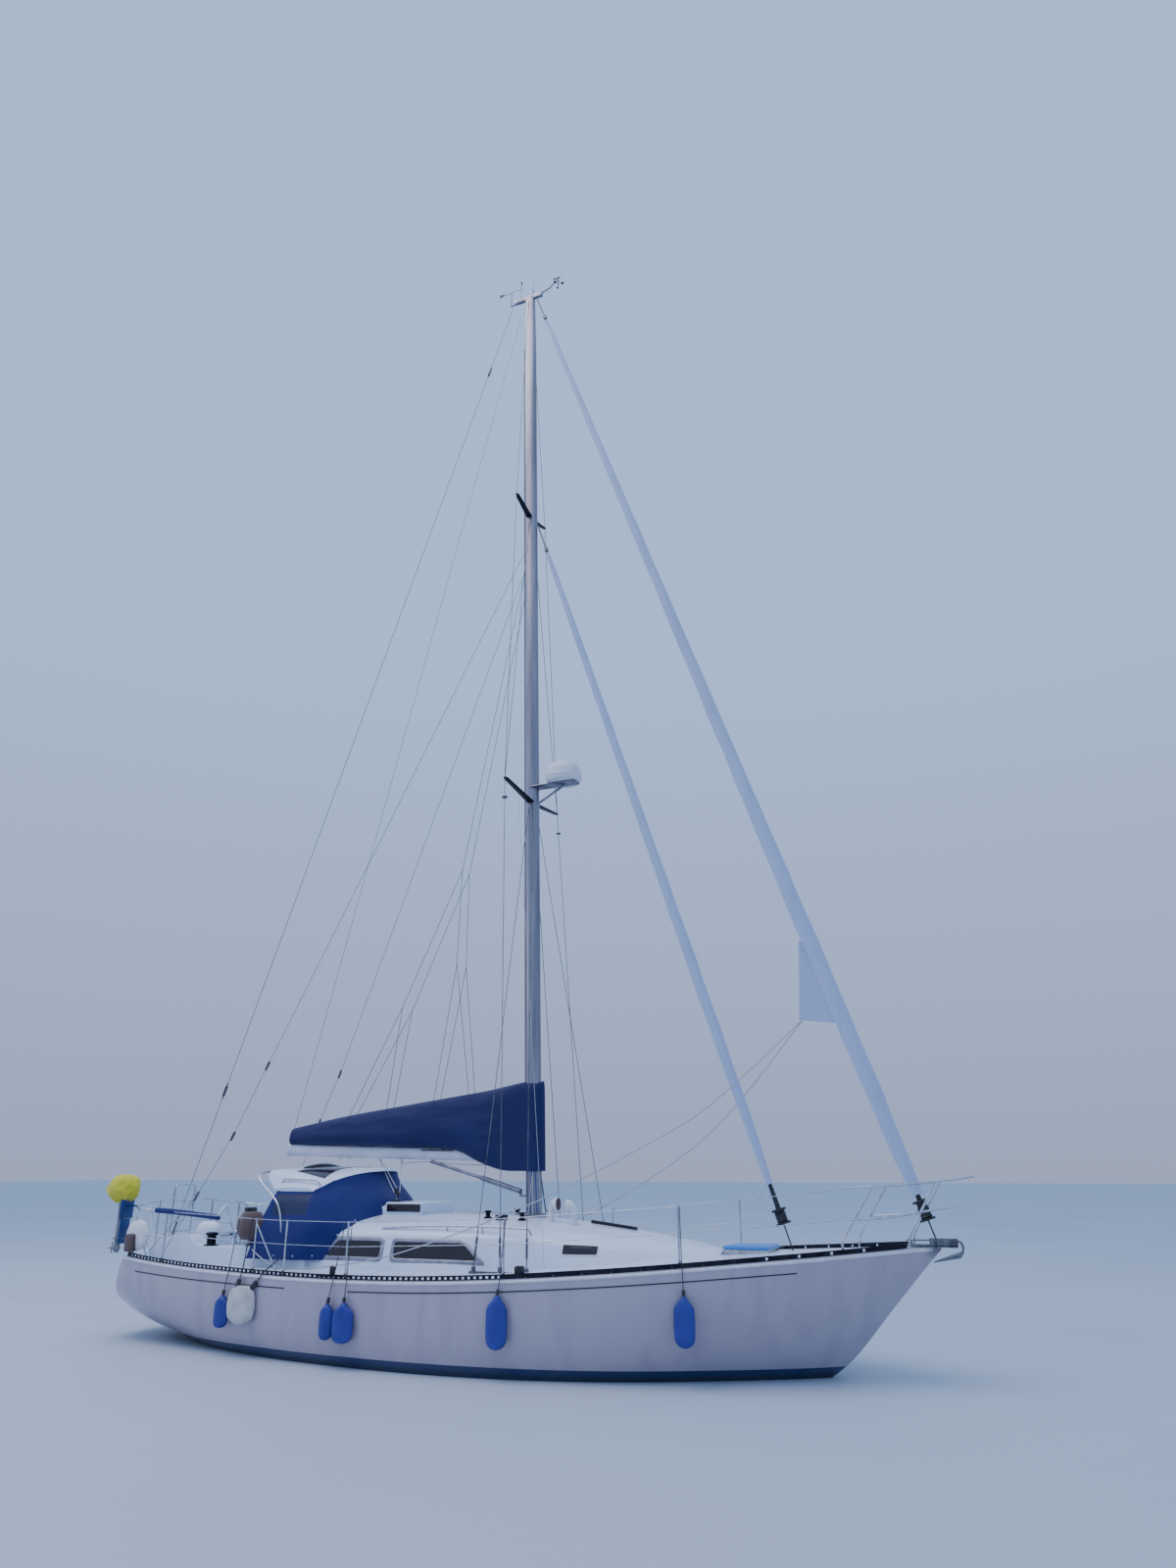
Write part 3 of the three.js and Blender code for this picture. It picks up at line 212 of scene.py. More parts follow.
streaks = topsides.clouds(0.12, stretch=(1, 1, 9), detail=4)
# rain streaks over the painted-shade white, their tone darkened the same way
white = topsides.blend(streaks, HULL_WHITE_IN_SHADE, "#a69cab", 0.45, 0.8)
booted = topsides.blend(below(BOOT_TOP), white, "#20305c", 0, 1)
under = below(ANTIFOULING_TOP)
slime = topsides.blend(topsides.clouds(0.08, detail=5), *ANTIFOULING)
topsides.paint(topsides.blend(under, booted, slime, 0, 1))
dull = topsides.add("ShaderNodeMapRange", {"To Min": GLOSSY, "To Max": DULL}, {"Value": under})
topsides.tree.links.new(dull.outputs["Result"], topsides.shader.inputs["Roughness"])
topsides.relief(topsides.clouds(0.5, detail=1), 0.006, 0.3)

# %% [markdown]
# Metals. Spars are clear anodised aluminium: satin, with draw lines along their length and dull patches.
# The toe rail and the spreaders are dark anodised. Rails, winches and fittings are polished stainless
# steel, which keeps the metal's default IOR and shows fine swirls. The propeller is cast bronze.

# %% Metals
def metal_finish(name, slot, tints, gloss, size=0.05, stretch=(1, 1, 1), depth=0.0002):
    made = Finish(name, slot, tints[0], gloss[0], 1.0)
    clouds = made.clouds(size, stretch, detail=4)
    made.paint(made.blend(clouds, *tints))
    made.gloss(made.clouds(size * 0.4, stretch), *gloss)
    made.relief(made.clouds(size * 0.1, stretch), depth, 0.4)
    return made


spar = metal_finish("aluminium_anodised_drawn", "anodised_spar", ("#9f9da9", "#7d7b87"), (0.3, 0.48),
                    0.06, (1, 1, 18))
dark_anodised = metal_finish("aluminium_anodised_dark", "black_rail", ("#23242b", "#34353d"), (0.35, 0.55))
stainless = metal_finish("stainless_polished", "stainless", ("#d9dade", "#b9bbc2"), (0.1, 0.24), 0.03)
bronze = metal_finish("bronze_cast", "bronze", ("#a07a45", "#6f5a3c"), (0.35, 0.6), 0.02, depth=0.0006)
galvanised = metal_finish("steel_galvanised", "grey_paint", ("#8c8f93", "#6d7074"), (0.45, 0.65), 0.015,
                          depth=0.0005)
# painted shade: its colour is darkened for the shade in the hollows between the strands
wire_strand = metal_finish("steel_wire_strand", "stainless", ("#85858c", "#55555c"), (0.35, 0.5), 0.02,
                           (1, 1, 6))
window_frame_metal = metal_finish("aluminium_anodised_frames", "smoked_pane", ("#a3a2ad", "#8c8b97"),
                                  (0.3, 0.5), 0.04)

# %% [markdown]
# Woven cloth. Canvas for covers is solution-dyed acrylic, woven with a thread about every 0.5 mm. It is
# drawn here with a thread every 5 mm, so that it shows. The weave follows the cloth, so it reads the UV
# map, which every cloth piece keeps in metres. Sun fades it in patches, and it has a soft sheen.

# %% Cloths
THREAD_PITCH = 0.005
BAND = 0.314  # a wave texture's scale divided by its pitch in metres


def woven_finish(name, slot, tints, fade, roughness=0.85, sheen=0.3):
    made = Finish(name, slot, tints[0], roughness, on_cloth=True, Sheen_Weight=sheen, Sheen_Roughness=0.5)
    threads = [made.add("ShaderNodeTexWave", {"bands_direction": axis, "Scale": BAND / THREAD_PITCH,
                                              "Distortion": 0.3, "Detail": 1.0}, {"Vector": made.place})
               for axis in ("X", "Y")]
    weave = made.add("ShaderNodeMath", {"operation": "MAXIMUM"},
                     {0: threads[0].outputs["Fac"], 1: threads[1].outputs["Fac"]})
    made.relief(weave.outputs["Value"], 0.0006, 0.5)
    made.relief(made.clouds(0.09, detail=3), 0.006, 0.5)
    cloth = made.blend(weave.outputs["Value"], tints[1], tints[0], 0.2, 0.9)
    made.paint(made.blend(made.clouds(0.5, detail=4), cloth, fade, 0.5, 0.95))
    return made


blue_canvas = woven_finish("canvas_acrylic_blue", "blue_canvas", ("#15206a", "#101a58"), "#1e2e78", sheen=0.1)
cover_canvas = woven_finish("canvas_sail_cover_blue", "blue_canvas", ("#121954", "#0d1344"), "#192360",
                            sheen=0.1)
yellow_canvas = woven_finish("canvas_yellow", "yellow_canvas", ("#d9d12b", "#c4bd27"), "#e4de55")
brown_canvas = woven_finish("canvas_brown", None, ("#5d4846", "#4c3a39"), "#75605c")
white_canvas = woven_finish("canvas_sail_cover_white", "sailcloth", ("#b3c2e2", "#a4b4d8"), "#9aa9cc")
blue_pad_cloth = woven_finish("canvas_hatch_cover", "hatch_pane", ("#2c80d2", "#2374c4"), "#4796da")

# %% [markdown]
# Other finishes: smoked acrylic panes, the dodger's clear vinyl windows painted an opaque dark navy for the
# shade under the dodger that shows through them, moulded plastics, rubber, inflated vinyl for the fenders,
# antifouling and other paints, and oiled teak. Most are one colour that varies a little in clouds, so one
# function makes them. Teak has its grain drawn out along the boards.

# %% Plastics, paint, wood and rubber
def plain_finish(name, slot, tints, gloss, size=0.08, depth=0.0004, metallic=0.0, **sockets):
    made = Finish(name, slot, tints[0], gloss[0], metallic, **sockets)
    made.paint(made.blend(made.clouds(size, detail=4), *tints))
    made.gloss(made.clouds(size * 0.5), *gloss)
    made.relief(made.clouds(size * 0.1), depth, 0.5)
    return made


smoked_pane = plain_finish("acrylic_smoked", "smoked_pane", ("#1f171c", "#2b2127"), (0.1, 0.18), 0.5,
                           0.0002, Coat_Weight=0.15)
# painted shade: the clear windows are an opaque dark navy for the shaded space seen through them
dodger_window = plain_finish("vinyl_clear_painted_shade", "blue_canvas", ("#0a1240", "#0f184c"), (0.5, 0.6), 0.2,
                             0.002)
boom_spar = plain_finish("paint_boom", "anodised_spar", ("#dcdce8", "#cbccda"), (0.35, 0.5), 0.1)
dome_plastic = plain_finish("asa_moulded_white", "dome_plastic", ("#e8e9ee", "#d9dbe2"), (0.3, 0.42))
black_rubber = plain_finish("rubber_black", None, ("#17171a", "#26262a"), (0.6, 0.8), 0.02)
black_plastic = plain_finish("polymer_black", None, ("#1a1b1f", "#2a2b31"), (0.35, 0.55), 0.03)
white_plastic = plain_finish("polymer_white", "gelcoat", ("#e6e7ea", "#d5d7dd"), (0.35, 0.5), 0.05)
fender_blue = plain_finish("vinyl_inflated_blue", None, ("#2a3796", "#232f86"), (0.35, 0.5), 0.1, 0.001)
fender_white = plain_finish("vinyl_inflated_white", None, ("#cfcdd0", "#b5b0ae"), (0.45, 0.6), 0.07, 0.001)
antifouling = plain_finish("antifouling_blue", "antifouling", ANTIFOULING, (0.7, 0.85), 0.08, 0.001)
engine_grey = plain_finish("paint_cast_grey", "grey_paint", ("#84868c", "#6d6f76"), (0.4, 0.55), 0.05)
engine_blue = plain_finish("paint_cast_blue", None, ("#20407c", "#1b3568"), (0.35, 0.5), 0.05)
vent_red = plain_finish("polymer_dark_red", None, ("#5a1f26", "#471a20"), (0.45, 0.6), 0.02)

teak = Finish("teak_oiled", "teak", "#8a6747", 0.55)
grain = teak.clouds(0.012, stretch=(14, 1, 1), detail=6)
teak.paint(teak.blend(grain, "#936f4d", "#5f4630", 0.35, 0.7))
teak.gloss(grain, 0.45, 0.7)
teak.relief(grain, 0.0006, 0.6)

# %% [markdown]
# Ropes are braided polyester: two sets of strands cross, and here and there a coloured fleck shows. The
# braid follows the rope, so it reads the UV map: once round is U and the length is V, both in metres.

# %% Ropes
BRAID_PITCH = 0.016


def rope_finish(name, tints):
    made = Finish(name, None, tints[0], 0.85, on_cloth=True)
    braid = made.add("ShaderNodeTexWave", {"bands_direction": "DIAGONAL", "Scale": BAND / BRAID_PITCH},
                     {"Vector": made.place})
    made.paint(made.blend(braid.outputs["Fac"], tints[1], tints[0], 0.2, 0.8))
    made.relief(braid.outputs["Fac"], 0.002, 0.8)
    return made


white_rope = rope_finish("polyester_braid_white", ("#cfcfd4", "#9a9aa3"))
dark_rope = rope_finish("polyester_braid_dark", ("#4b4a52", "#2b2a31"))
blue_rope = rope_finish("polyester_braid_blue", ("#2f4fa0", "#1f3572"))
print(len(bpy.data.materials), "finishes")

# %% [markdown]
# The stage is a plain pale floor at the waterline, under an overcast sky that is brighter and bluer
# overhead. A broad lamp above lights the decks, and a weaker one astern lights the starboard side.

# %% Stage and light
FLOOR_SIZE = 400
SKY = ("#98a3c4", "#a6c4f2")  # at the horizon and overhead
SKY_STRENGTH = 1.25
bpy.ops.mesh.primitive_plane_add(size=FLOOR_SIZE)
floor = bpy.context.object
floor.name = "studio_floor"
floor_paint = plain_finish("studio_floor_paint", None, ("#b9c2cf", "#b4bdcb"), (0.55, 0.7), 3.0, 0.0)
floor.data.materials.append(floor_paint.material)

world = bpy.data.worlds.new("studio_sky")
bpy.context.scene.world = world
world.use_nodes = True
sky = world.node_tree
place = add_node(sky, "ShaderNodeTexCoord")
rise = add_node(sky, "ShaderNodeSeparateXYZ", links={"Vector": place.outputs["Generated"]})
share = add_node(sky, "ShaderNodeMapRange", {"From Min": 0.0, "From Max": 0.45}, {"Value": rise.outputs["Z"]})
tint = add_node(sky, "ShaderNodeMix", {"data_type": "RGBA", 6: colour(SKY[0]), 7: colour(SKY[1])},
                {"Factor": share.outputs["Result"]})
sky.nodes["Background"].inputs["Strength"].default_value = SKY_STRENGTH
sky.links.new(tint.outputs[2], sky.nodes["Background"].inputs["Color"])

# name, place, side of the square, watts and colour; each lamp points at LIT
LAMPS = [("overhead", (-6, -6, 26), 20, 3600, "#fff6f2"), ("side", (-27, -9, 12), 12, 500, "#fff0ff")]
LIT = Vector((0, 0, 5))
for name, place, size, power, tint in LAMPS:
    bpy.ops.object.light_add(type="AREA", location=place)
    lamp = bpy.context.object
    lamp.name = name
    lamp.data.size = size
    lamp.data.energy = power
    lamp.data.color = colour(tint)[:3]
    lamp.rotation_euler = (LIT - Vector(place)).to_track_quat("-Z", "Y").to_euler()
print("stage and", len(LAMPS), "lamps")

# %% [markdown]
# Most of a boat's forms are sections set out along a line. One helper takes a grid primitive and fits its
# vertices to rows of points, and the edit-mode tools close its seam and its ends. It also lays the UV map
# out in metres, so that cloth and rope patterns keep their real size.

# %% Helpers for fitted shapes
def alone(*pieces):
    """Select these pieces only, the first one active, so that the next operator acts on nothing else."""
    bpy.ops.object.select_all(action="DESELECT")
    for piece in reversed(pieces):
        piece.select_set(True)
        bpy.context.view_layer.objects.active = piece


def edit(piece, *steps):
    """Run edit-mode steps on one piece with all of it selected before each."""
    alone(piece)
    bpy.ops.object.mode_set(mode="EDIT")
    for step in steps:
        bpy.ops.mesh.select_all(action="SELECT")
        step()
    bpy.ops.object.mode_set(mode="OBJECT")


def weld():
    bpy.ops.mesh.remove_doubles(threshold=1e-5)


def outwards():
    bpy.ops.mesh.normals_make_consistent(inside=False)


def close_ends():
    bpy.ops.mesh.fill_holes(sides=0)


def fitted(rows, ring=False, capped=False):
    """A grid primitive fitted to rows of points. ring joins each row's ends, capped closes the ends."""
    alone()
    wide = [list(row) + [row[0]] if ring else list(row) for row in rows]
    across = len(wide[0])
    bpy.ops.mesh.primitive_grid_add(x_subdivisions=across - 1, y_subdivisions=len(wide) - 1)
    piece = bpy.context.object
    points = [Vector(point) for row in wide for point in row]
    piece.data.vertices.foreach_set("co", [value for point in points for value in point])
    round_way = [0.0] * len(points)
    length_way = [0.0] * len(points)
    for index, point in enumerate(points):
        if index % across:
            round_way[index] = round_way[index - 1] + (point - points[index - 1]).length
        if index >= across:
            length_way[index] = length_way[index - across] + (point - points[index - across]).length
    uv = piece.data.uv_layers[0].data
    for loop in piece.data.loops:
        uv[loop.index].uv = (round_way[loop.vertex_index], length_way[loop.vertex_index])
    edit(piece, *([weld] if ring else []), *([close_ends] if capped else []), outwards)
    return piece


def loft(rings):
    """A closed shape fitted to rings of points."""
    return fitted(rings, ring=True, capped=True)


def smooth(piece, degrees=35):
    """Smooth shading with an edge kept sharp where faces meet at more than the angle."""
    alone(piece)
    bpy.ops.object.shade_smooth_by_angle(angle=radians(degrees))
    return piece


def without(piece, unwanted):
    """Delete the faces that a test of their index and centre picks."""
    def pick_none():
        bpy.ops.mesh.select_mode(type="FACE")
        bpy.ops.mesh.select_all(action="DESELECT")

    edit(piece, pick_none)
    for index, face in enumerate(piece.data.polygons):
        face.select = unwanted(index, face.center)
    bpy.ops.object.mode_set(mode="EDIT")
    bpy.ops.mesh.delete(type="FACE")
    bpy.ops.mesh.select_mode(type="VERT")
    bpy.ops.object.mode_set(mode="OBJECT")
    return piece


def modify(piece, kind, **settings):
    """Add a modifier with its settings and apply it."""
    alone(piece)
    bpy.ops.object.modifier_add(type=kind)
    modifier = piece.modifiers[-1]
    for key, value in settings.items():
        setattr(modifier, key, value)
    bpy.ops.object.modifier_apply(modifier=modifier.name)
    return piece


def walled(piece, thickness, **settings):
    """Give a sheet its thickness."""
    return modify(piece, "SOLIDIFY", thickness=thickness, **settings)


def softened(piece, width, segments=2, degrees=40):
    """Round the edges that are sharper than the angle, as a mould or a file leaves them."""
    return modify(piece, "BEVEL", width=width, segments=segments, limit_method="ANGLE",
                  angle_limit=radians(degrees))


def joined(*pieces):
    """Several pieces as one object."""
    alone(*pieces)
    if len(pieces) > 1:
        bpy.ops.object.join()
    return pieces[0]


def carved(piece, *cutters):
    """Cut the cutters' shapes out of a piece and delete the cutters."""
    for cutter in cutters:
        modify(piece, "BOOLEAN", operation="DIFFERENCE", solver="EXACT", object=cutter)
        bpy.data.objects.remove(cutter)
    return piece


def dressed(piece, finish, *nodes, body="yacht", name=""):
    """Give a piece its finish and its name, and let it ride on the body of the nodes that it replaces."""
    piece.data.materials.clear()
    piece.data.materials.append(finish.material)
    piece.name = f"{nodes[0]}_visual" if nodes else name
    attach(piece, NODE_BODY[nodes[0]] if nodes else body)
    if nodes:
        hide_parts(*nodes)
    return piece


# %% [markdown]
# A few lines of arithmetic stand in for the draughtsman's battens: a smooth curve through a table's rows,
# corners cut off an outline until it is round, and rings at right angles to a path for tubes and ropes.

# %% Helpers for curves and tubes
SIDES = ((1, "port"), (-1, "starboard"))
LIE, STAND, FACE_AFT = (0, 1), (0, 2), (1, 2)  # pairs of axes in which a ring of points lies


def mix(a, b, t):
    return a + (b - a) * t


def ticks(low, high, count):
    """Numbers spread evenly over a span, with both its ends."""
    return [mix(low, high, i / count) for i in range(count + 1)]


def smoothstep(value, low, high):
    t = min(max((value - low) / (high - low), 0), 1)
    return t * t * (3 - 2 * t)


def along(table, x, column):
    """A value read from a table of rows (x, ...) by a smooth curve through them."""
    if x <= table[0][0]:
        return table[0][column]
    if x >= table[-1][0]:
        return table[-1][column]
    i = next(k for k, row in enumerate(table) if row[0] > x) - 1

    def slope(k):
        before, after = table[max(k - 1, 0)], table[min(k + 1, len(table) - 1)]
        return (after[column] - before[column]) / (after[0] - before[0])

    a, b = table[i], table[i + 1]
    span = b[0] - a[0]
    t = (x - a[0]) / span
    return ((2 * t ** 3 - 3 * t ** 2 + 1) * a[column] + (t ** 3 - 2 * t ** 2 + t) * span * slope(i)
            + (3 * t ** 2 - 2 * t ** 3) * b[column] + (t ** 3 - t ** 2) * span * slope(i + 1))


def eased(points, reach, steps=4, closed=True):
    """An outline with each corner turned into a curve that starts and ends at most reach away from it."""
    spots = [Vector(p) for p in points]
    line = []
    for i, spot in enumerate(spots):
        if not closed and i in (0, len(spots) - 1):
            line.append(spot)
            continue
        back, on = spots[i - 1] - spot, spots[(i + 1) % len(spots)] - spot
        a = spot + back * min(reach / back.length, 0.45)
        b = spot + on * min(reach / on.length, 0.45)
        line += [a * (1 - t) ** 2 + spot * 2 * t * (1 - t) + b * t * t for t in ticks(0, 1, steps)]
    return [tuple(p) for p in line]


def flowing(points, steps, closed=False):
    """Points along a smooth curve through the given ones, steps to each stretch."""
    count = len(points)
    spots = [Vector(p) for p in points]
    line = []
    for i in range(count if closed else count - 1):
        if closed:
            a, b, c, d = (spots[(i + k) % count] for k in (-1, 0, 1, 2))
        else:
            a, b, c, d = (spots[min(max(i + k, 0), count - 1)] for k in (-1, 0, 1, 2))
        for s in range(steps):
            t = s / steps
            line.append(0.5 * (2 * b + (c - a) * t + (2 * a - 5 * b + 4 * c - d) * t * t
                               + (3 * b - a - 3 * c + d) * t ** 3))
    if not closed:
        line.append(spots[-1])
    return line


def mirrored(points):
    """The starboard half of a line, ending in the middle plane, with its port half added."""
    return points + [(x, -y, z) for x, y, z in reversed(points[:-1])]


def all_round(sides):
    """Angles spread evenly over a full turn."""
    return ticks(0, tau, sides)[:-1]


def oval(centre, half, sides, plane=LIE):
    """A ring of points round a centre, in the plane of two axes, with its half sizes along them."""
    ring = []
    for a in all_round(sides):
        spot = list(centre)
        spot[plane[0]] += half[0] * cos(a)
        spot[plane[1]] += half[1] * sin(a)
        ring.append(tuple(spot))
    return ring


def evenly(line, count):
    """Points spread evenly along a line of straight pieces."""
    lengths = [0.0]
    for a, b in zip(line, line[1:]):
        lengths.append(lengths[-1] + dist(a, b))
    placed = []
    for want in ticks(0, lengths[-1], count):
        i = max(k for k, length in enumerate(lengths[:-1]) if length <= want)
        t = (want - lengths[i]) / (lengths[i + 1] - lengths[i])
        placed.append(tuple(mix(a, b, t) for a, b in zip(line[i], line[i + 1])))
    return placed


def tube(path, radius, sides=10, closed=False):
    """A round tube along a path. radius is one number, or a function of the share of the way along."""
    spots = [Vector(p) for p in path]
    count = len(spots)
    side = None
    rows = []
    for i, spot in enumerate(spots):
        before = spots[(i - 1) % count] if closed or i else spot
        after = spots[(i + 1) % count] if closed or i < count - 1 else spot
        heading = (after - before).normalized()
        if side is None:
            side = heading.orthogonal().normalized()
        side = (side - heading * side.dot(heading)).normalized()
        up = heading.cross(side)
        reach = radius(i / max(count - 1, 1)) if callable(radius) else radius
        rows.append([spot + reach * (cos(a) * side + sin(a) * up) for a in all_round(sides)])
    if closed:
        rows.append(rows[0])
    return fitted(rows, ring=True, capped=not closed)


def pipework(runs, sides=12, at=(0, 0, 0)):
    """Bent tubes joined to one piece. Each run is its points, measured from a place, and its radius."""
    pieces = []
    for points, radius in runs:
        spots = [Vector(point) + Vector(at) for point in points]
        pieces.append(tube(flowing(spots, 5) if len(spots) > 2 else spots, radius, sides))
    return smooth(joined(*pieces), 60)


def thick(radius, *lines):
    """Runs of one radius, for pipework."""
    return [(line, radius) for line in lines]


def turned(profile, centre, steps=32, axis="Z"):
    """A profile of (radius, height) spun round the upright, or the lengthways line, through centre."""
    alone()
    bpy.ops.mesh.primitive_circle_add(vertices=len(profile), fill_type="NOTHING")
    piece = bpy.context.object
    x, y, z = centre
    places = [(x + r, y, z + h) if axis == "Z" else (x + h, y, z + r) for r, h in profile]
    piece.data.vertices.foreach_set("co", [value for place in places for value in place])
    turn = (0, 0, 1) if axis == "Z" else (1, 0, 0)
    # the primitive's own place is where it was added, so the spin's centre is given in full
    edit(piece, lambda: bpy.ops.mesh.spin(steps=steps, angle=tau, center=centre, axis=turn), weld,
         lambda: bpy.ops.mesh.dissolve_degenerate(threshold=1e-6), outwards)
    return smooth(piece, 30)


def box(low, high, edge=0.0, at=(0, 0, 0)):
    """A cube primitive between two corners, measured from a place, with its edges rounded."""
    alone()
    low, high = ([a + b for a, b in zip(corner, at)] for corner in (low, high))
    middle = [mix(a, b, 0.5) for a, b in zip(low, high)]
    bpy.ops.mesh.primitive_cube_add(size=1, location=middle, scale=[b - a for a, b in zip(low, high)])
    piece = bpy.context.object
    bpy.ops.object.transform_apply(location=True, rotation=True, scale=True)
    if edge:
        softened(piece, edge)
        smooth(piece)
    return piece


def prism(outline, low, high, axis="Y"):
    """A flat outline pushed through a span of the third axis: (x, z) along Y, or (x, y) along Z."""
    return loft([[(u, level, v) if axis == "Y" else (u, v, level) for u, v in outline]
                 for level in (low, high)])


# %% [markdown]
# The hull is a displacement cruiser's: firm bilges, a gentle sheer, a raked bow and a transom that rakes
# the other way and bulges in plan. Its sections come from a table of lines, set out closely so that the
# plating is fair. The transom is drawn in rings that shrink to its middle.

# %% Hull lines
# x, half breadth at the deck edge, height of the deck edge, bottom, fullness across and down
LINES = [
    (-5.02, 1.09, 1.005, 0.33, 2.3, 3.0), (-4.52, 1.19, 0.962, 0.12, 2.3, 3.2),
    (-3.54, 1.385, 0.92, -0.16, 2.2, 3.5), (-1.87, 1.61, 0.89, -0.45, 2.0, 3.8),
    (-0.48, 1.7, 0.905, -0.55, 2.0, 4.0), (0.72, 1.665, 0.955, -0.56, 1.9, 3.6),
    (1.79, 1.525, 1.025, -0.5, 1.7, 2.9), (2.69, 1.3, 1.095, -0.39, 1.5, 2.2),
    (3.53, 0.985, 1.165, -0.19, 1.35, 1.7), (4.1, 0.69, 1.21, 0.1, 1.25, 1.45),
    (4.7, 0.34, 1.262, 0.73, 1.2, 1.3), (5.06, 0.115, 1.29, 1.12, 1.2, 1.2),
    (5.2, 0.028, 1.302, 1.262, 1.2, 1.2),
]
CAMBER = 0.045
TRANSOM_BOW = 0.22
TRANSOM_RAKE = 0.3
AFT, FORE = LINES[0][0], LINES[-1][0]
SIDE_STEPS = 22
DECK_STEPS = 14


def deck_edge(x):
    return along(LINES, x, 1), along(LINES, x, 2)


def deck_top(x, y):
    half, edge = deck_edge(x)
    return edge + CAMBER * half * max(0, 1 - (y / half) ** 2)


def hull_place(x, y, z):
    """A section's point, moved aft where the transom rakes and bulges."""
    half, edge = deck_edge(x)
    aft = smoothstep(-x, 3.7, -AFT)
    return (x - aft * (TRANSOM_RAKE * (edge - z) + TRANSOM_BOW * (1 - (y / half) ** 2)), y, z)


def hull_ring(x, share=1.0):
    half, edge, low, across, down = (along(LINES, x, column) for column in range(1, 6))
    side = []
    for t in ticks(0, 1, SIDE_STEPS)[1:]:
        angle = t * pi / 2
        rise = 1 - max(cos(angle), 0) ** (2 / down)
        side.append((half * sin(angle) ** (2 / across), mix(low, edge, rise)))
    deck = [(u * half, edge + CAMBER * half * (1 - u * u)) for u in ticks(1, -1, DECK_STEPS)[1:-1]]
    ring = [(0, low), *side, *deck, *((-y, z) for y, z in reversed(side))]
    middle = mix(low, edge, 0.6)
    return [hull_place(x, y * share, mix(middle, z, share)) for y, z in ring]


stations = ticks(AFT, -3.5, 24)[:-1] + ticks(-3.5, 3.0, 52)[:-1] + ticks(3, FORE, 30)
transom = [hull_ring(AFT, share) for share in (0.02, 0.2, 0.4, 0.6, 0.8, 0.93)]
hull = loft(transom + [hull_ring(x) for x in stations])
print("hull", len(hull.data.vertices), "vertices")

# %% [markdown]
# The cockpit is cut out of the hull and the coamings: a footwell with a bench on each side. The coaming
# is the low wall round it, moulded with a broad flat top for the winches.

# %% Cockpit
COAMING = [(-4.75, 1.07, 0.94), (-4.6, 1.18, 0.97), (-4.3, 1.25, 1.01), (-3.98, 1.25, 1.05),
           (-3.86, 1.16, 1.06), (-3.6, 1.145, 1.08), (-2.14, 1.2, 1.08)]  # x, top, half breadth
SEAT_TOP = 1.01
SOLE_TOP = 0.47
WELL_HALF = 0.37
COCKPIT_AFT, COCKPIT_FORE = -4.56, -2.25
SEAT_HALF = (0.76, 0.94)


def coaming_ring(x):
    top, out = along(COAMING, x, 1), along(COAMING, x, 2)
    return [(x, y, z) for y, z in ((-out - 0.025, 0.7), (out + 0.025, 0.7), (out, top), (-out, top))]


def cockpit_cutters():
    seats = [(COCKPIT_AFT, -SEAT_HALF[0]), (COCKPIT_FORE, -SEAT_HALF[1]), (COCKPIT_FORE, SEAT_HALF[1]),
             (COCKPIT_AFT, SEAT_HALF[0])]
    return [prism(seats, SEAT_TOP, 2.0, "Z"),
            box((-4.48, -WELL_HALF, SOLE_TOP), (COCKPIT_FORE, WELL_HALF, 1.5))]


CABIN = [((-2.09, -0.38, -0.24), (1.8, 0.38, 1.4)), ((-2.09, -0.9, 0.26), (1.5, 0.9, 1.4)),
         ((1.4, -0.52, 0.33), (2.35, 0.52, 1.4)), ((-2.31, -0.29, 0.62), (-2.03, 0.29, 1.7))]
carved(hull, *cockpit_cutters(), *(box(low, high) for low, high in CABIN))
smooth(hull, 32)
dressed(hull, topsides, "hull")

coaming = loft([coaming_ring(x) for x in ticks(-4.75, -2.14, 60)])
carved(coaming, *cockpit_cutters())
softened(coaming, 0.018, 3)
dressed(smooth(coaming), moulded_gelcoat, name="coaming")
print("cockpit cut")

# %% [markdown]
# The deck is walked on, so it takes the non-skid finish, and so do the benches and the sole. The perforated
# toe rail is an aluminium extrusion bolted along the deck edge, with slots for blocks and lashings. A pale
# strip below it takes the knocks. The rail is a strip of faces with the slots' faces taken out, then given
# its thickness, so that light really passes through it.

# %% Deck and toe rail
hull.data.materials.append(deck_gelcoat.material)
for face in hull.data.polygons:
    x, y, z = face.center
    in_cockpit = COCKPIT_AFT < x < COCKPIT_FORE and abs(y) < SEAT_HALF[1]
    if z > deck_edge(x)[1] - 0.003 or in_cockpit and z > 0.4:
        face.material_index = 1

RAIL_AFT, RAIL_FORE = -4.95, 4.88
RAIL_LEVELS = (-0.012, 0.012, 0.036, 0.050)  # heights of the rows of faces; the slots lie in the middle row
SLOT_PITCH, SLOT_LENGTH = 0.070, 0.034
HOLE_PITCH, HOLE_LENGTH = 0.305, 0.022
SLOTS_END = 0.8  # forward of this the rail has only a few small holes
# sections along the deck edge, as rise above it and distance outboard of it
FLANGE = ((0.001, -0.006), (0.006, -0.008), (0.010, -0.038), (0.002, -0.042))
STRAKE = ((-0.010, -0.008), (-0.012, 0.004), (-0.026, 0.010), (-0.042, 0.004), (-0.046, -0.008))


def slot_spans():
    spans, x = [], RAIL_AFT + 0.08
    while x < SLOTS_END:
        spans.append((x, x + SLOT_LENGTH))
        x += SLOT_PITCH
    while x < RAIL_FORE - 0.3:
        spans.append((x, x + HOLE_LENGTH))
        x += HOLE_PITCH
    return spans


def beside_edge(x, side, rise, out=0.0):
    """A point above the deck edge, out metres outboard of it."""
    half, edge = deck_edge(x)
    return hull_place(x, side * (half + out), edge + rise)


def along_edge(side, section, spots):
    return loft([[beside_edge(x, side, rise, out) for rise, out in section] for x in spots])


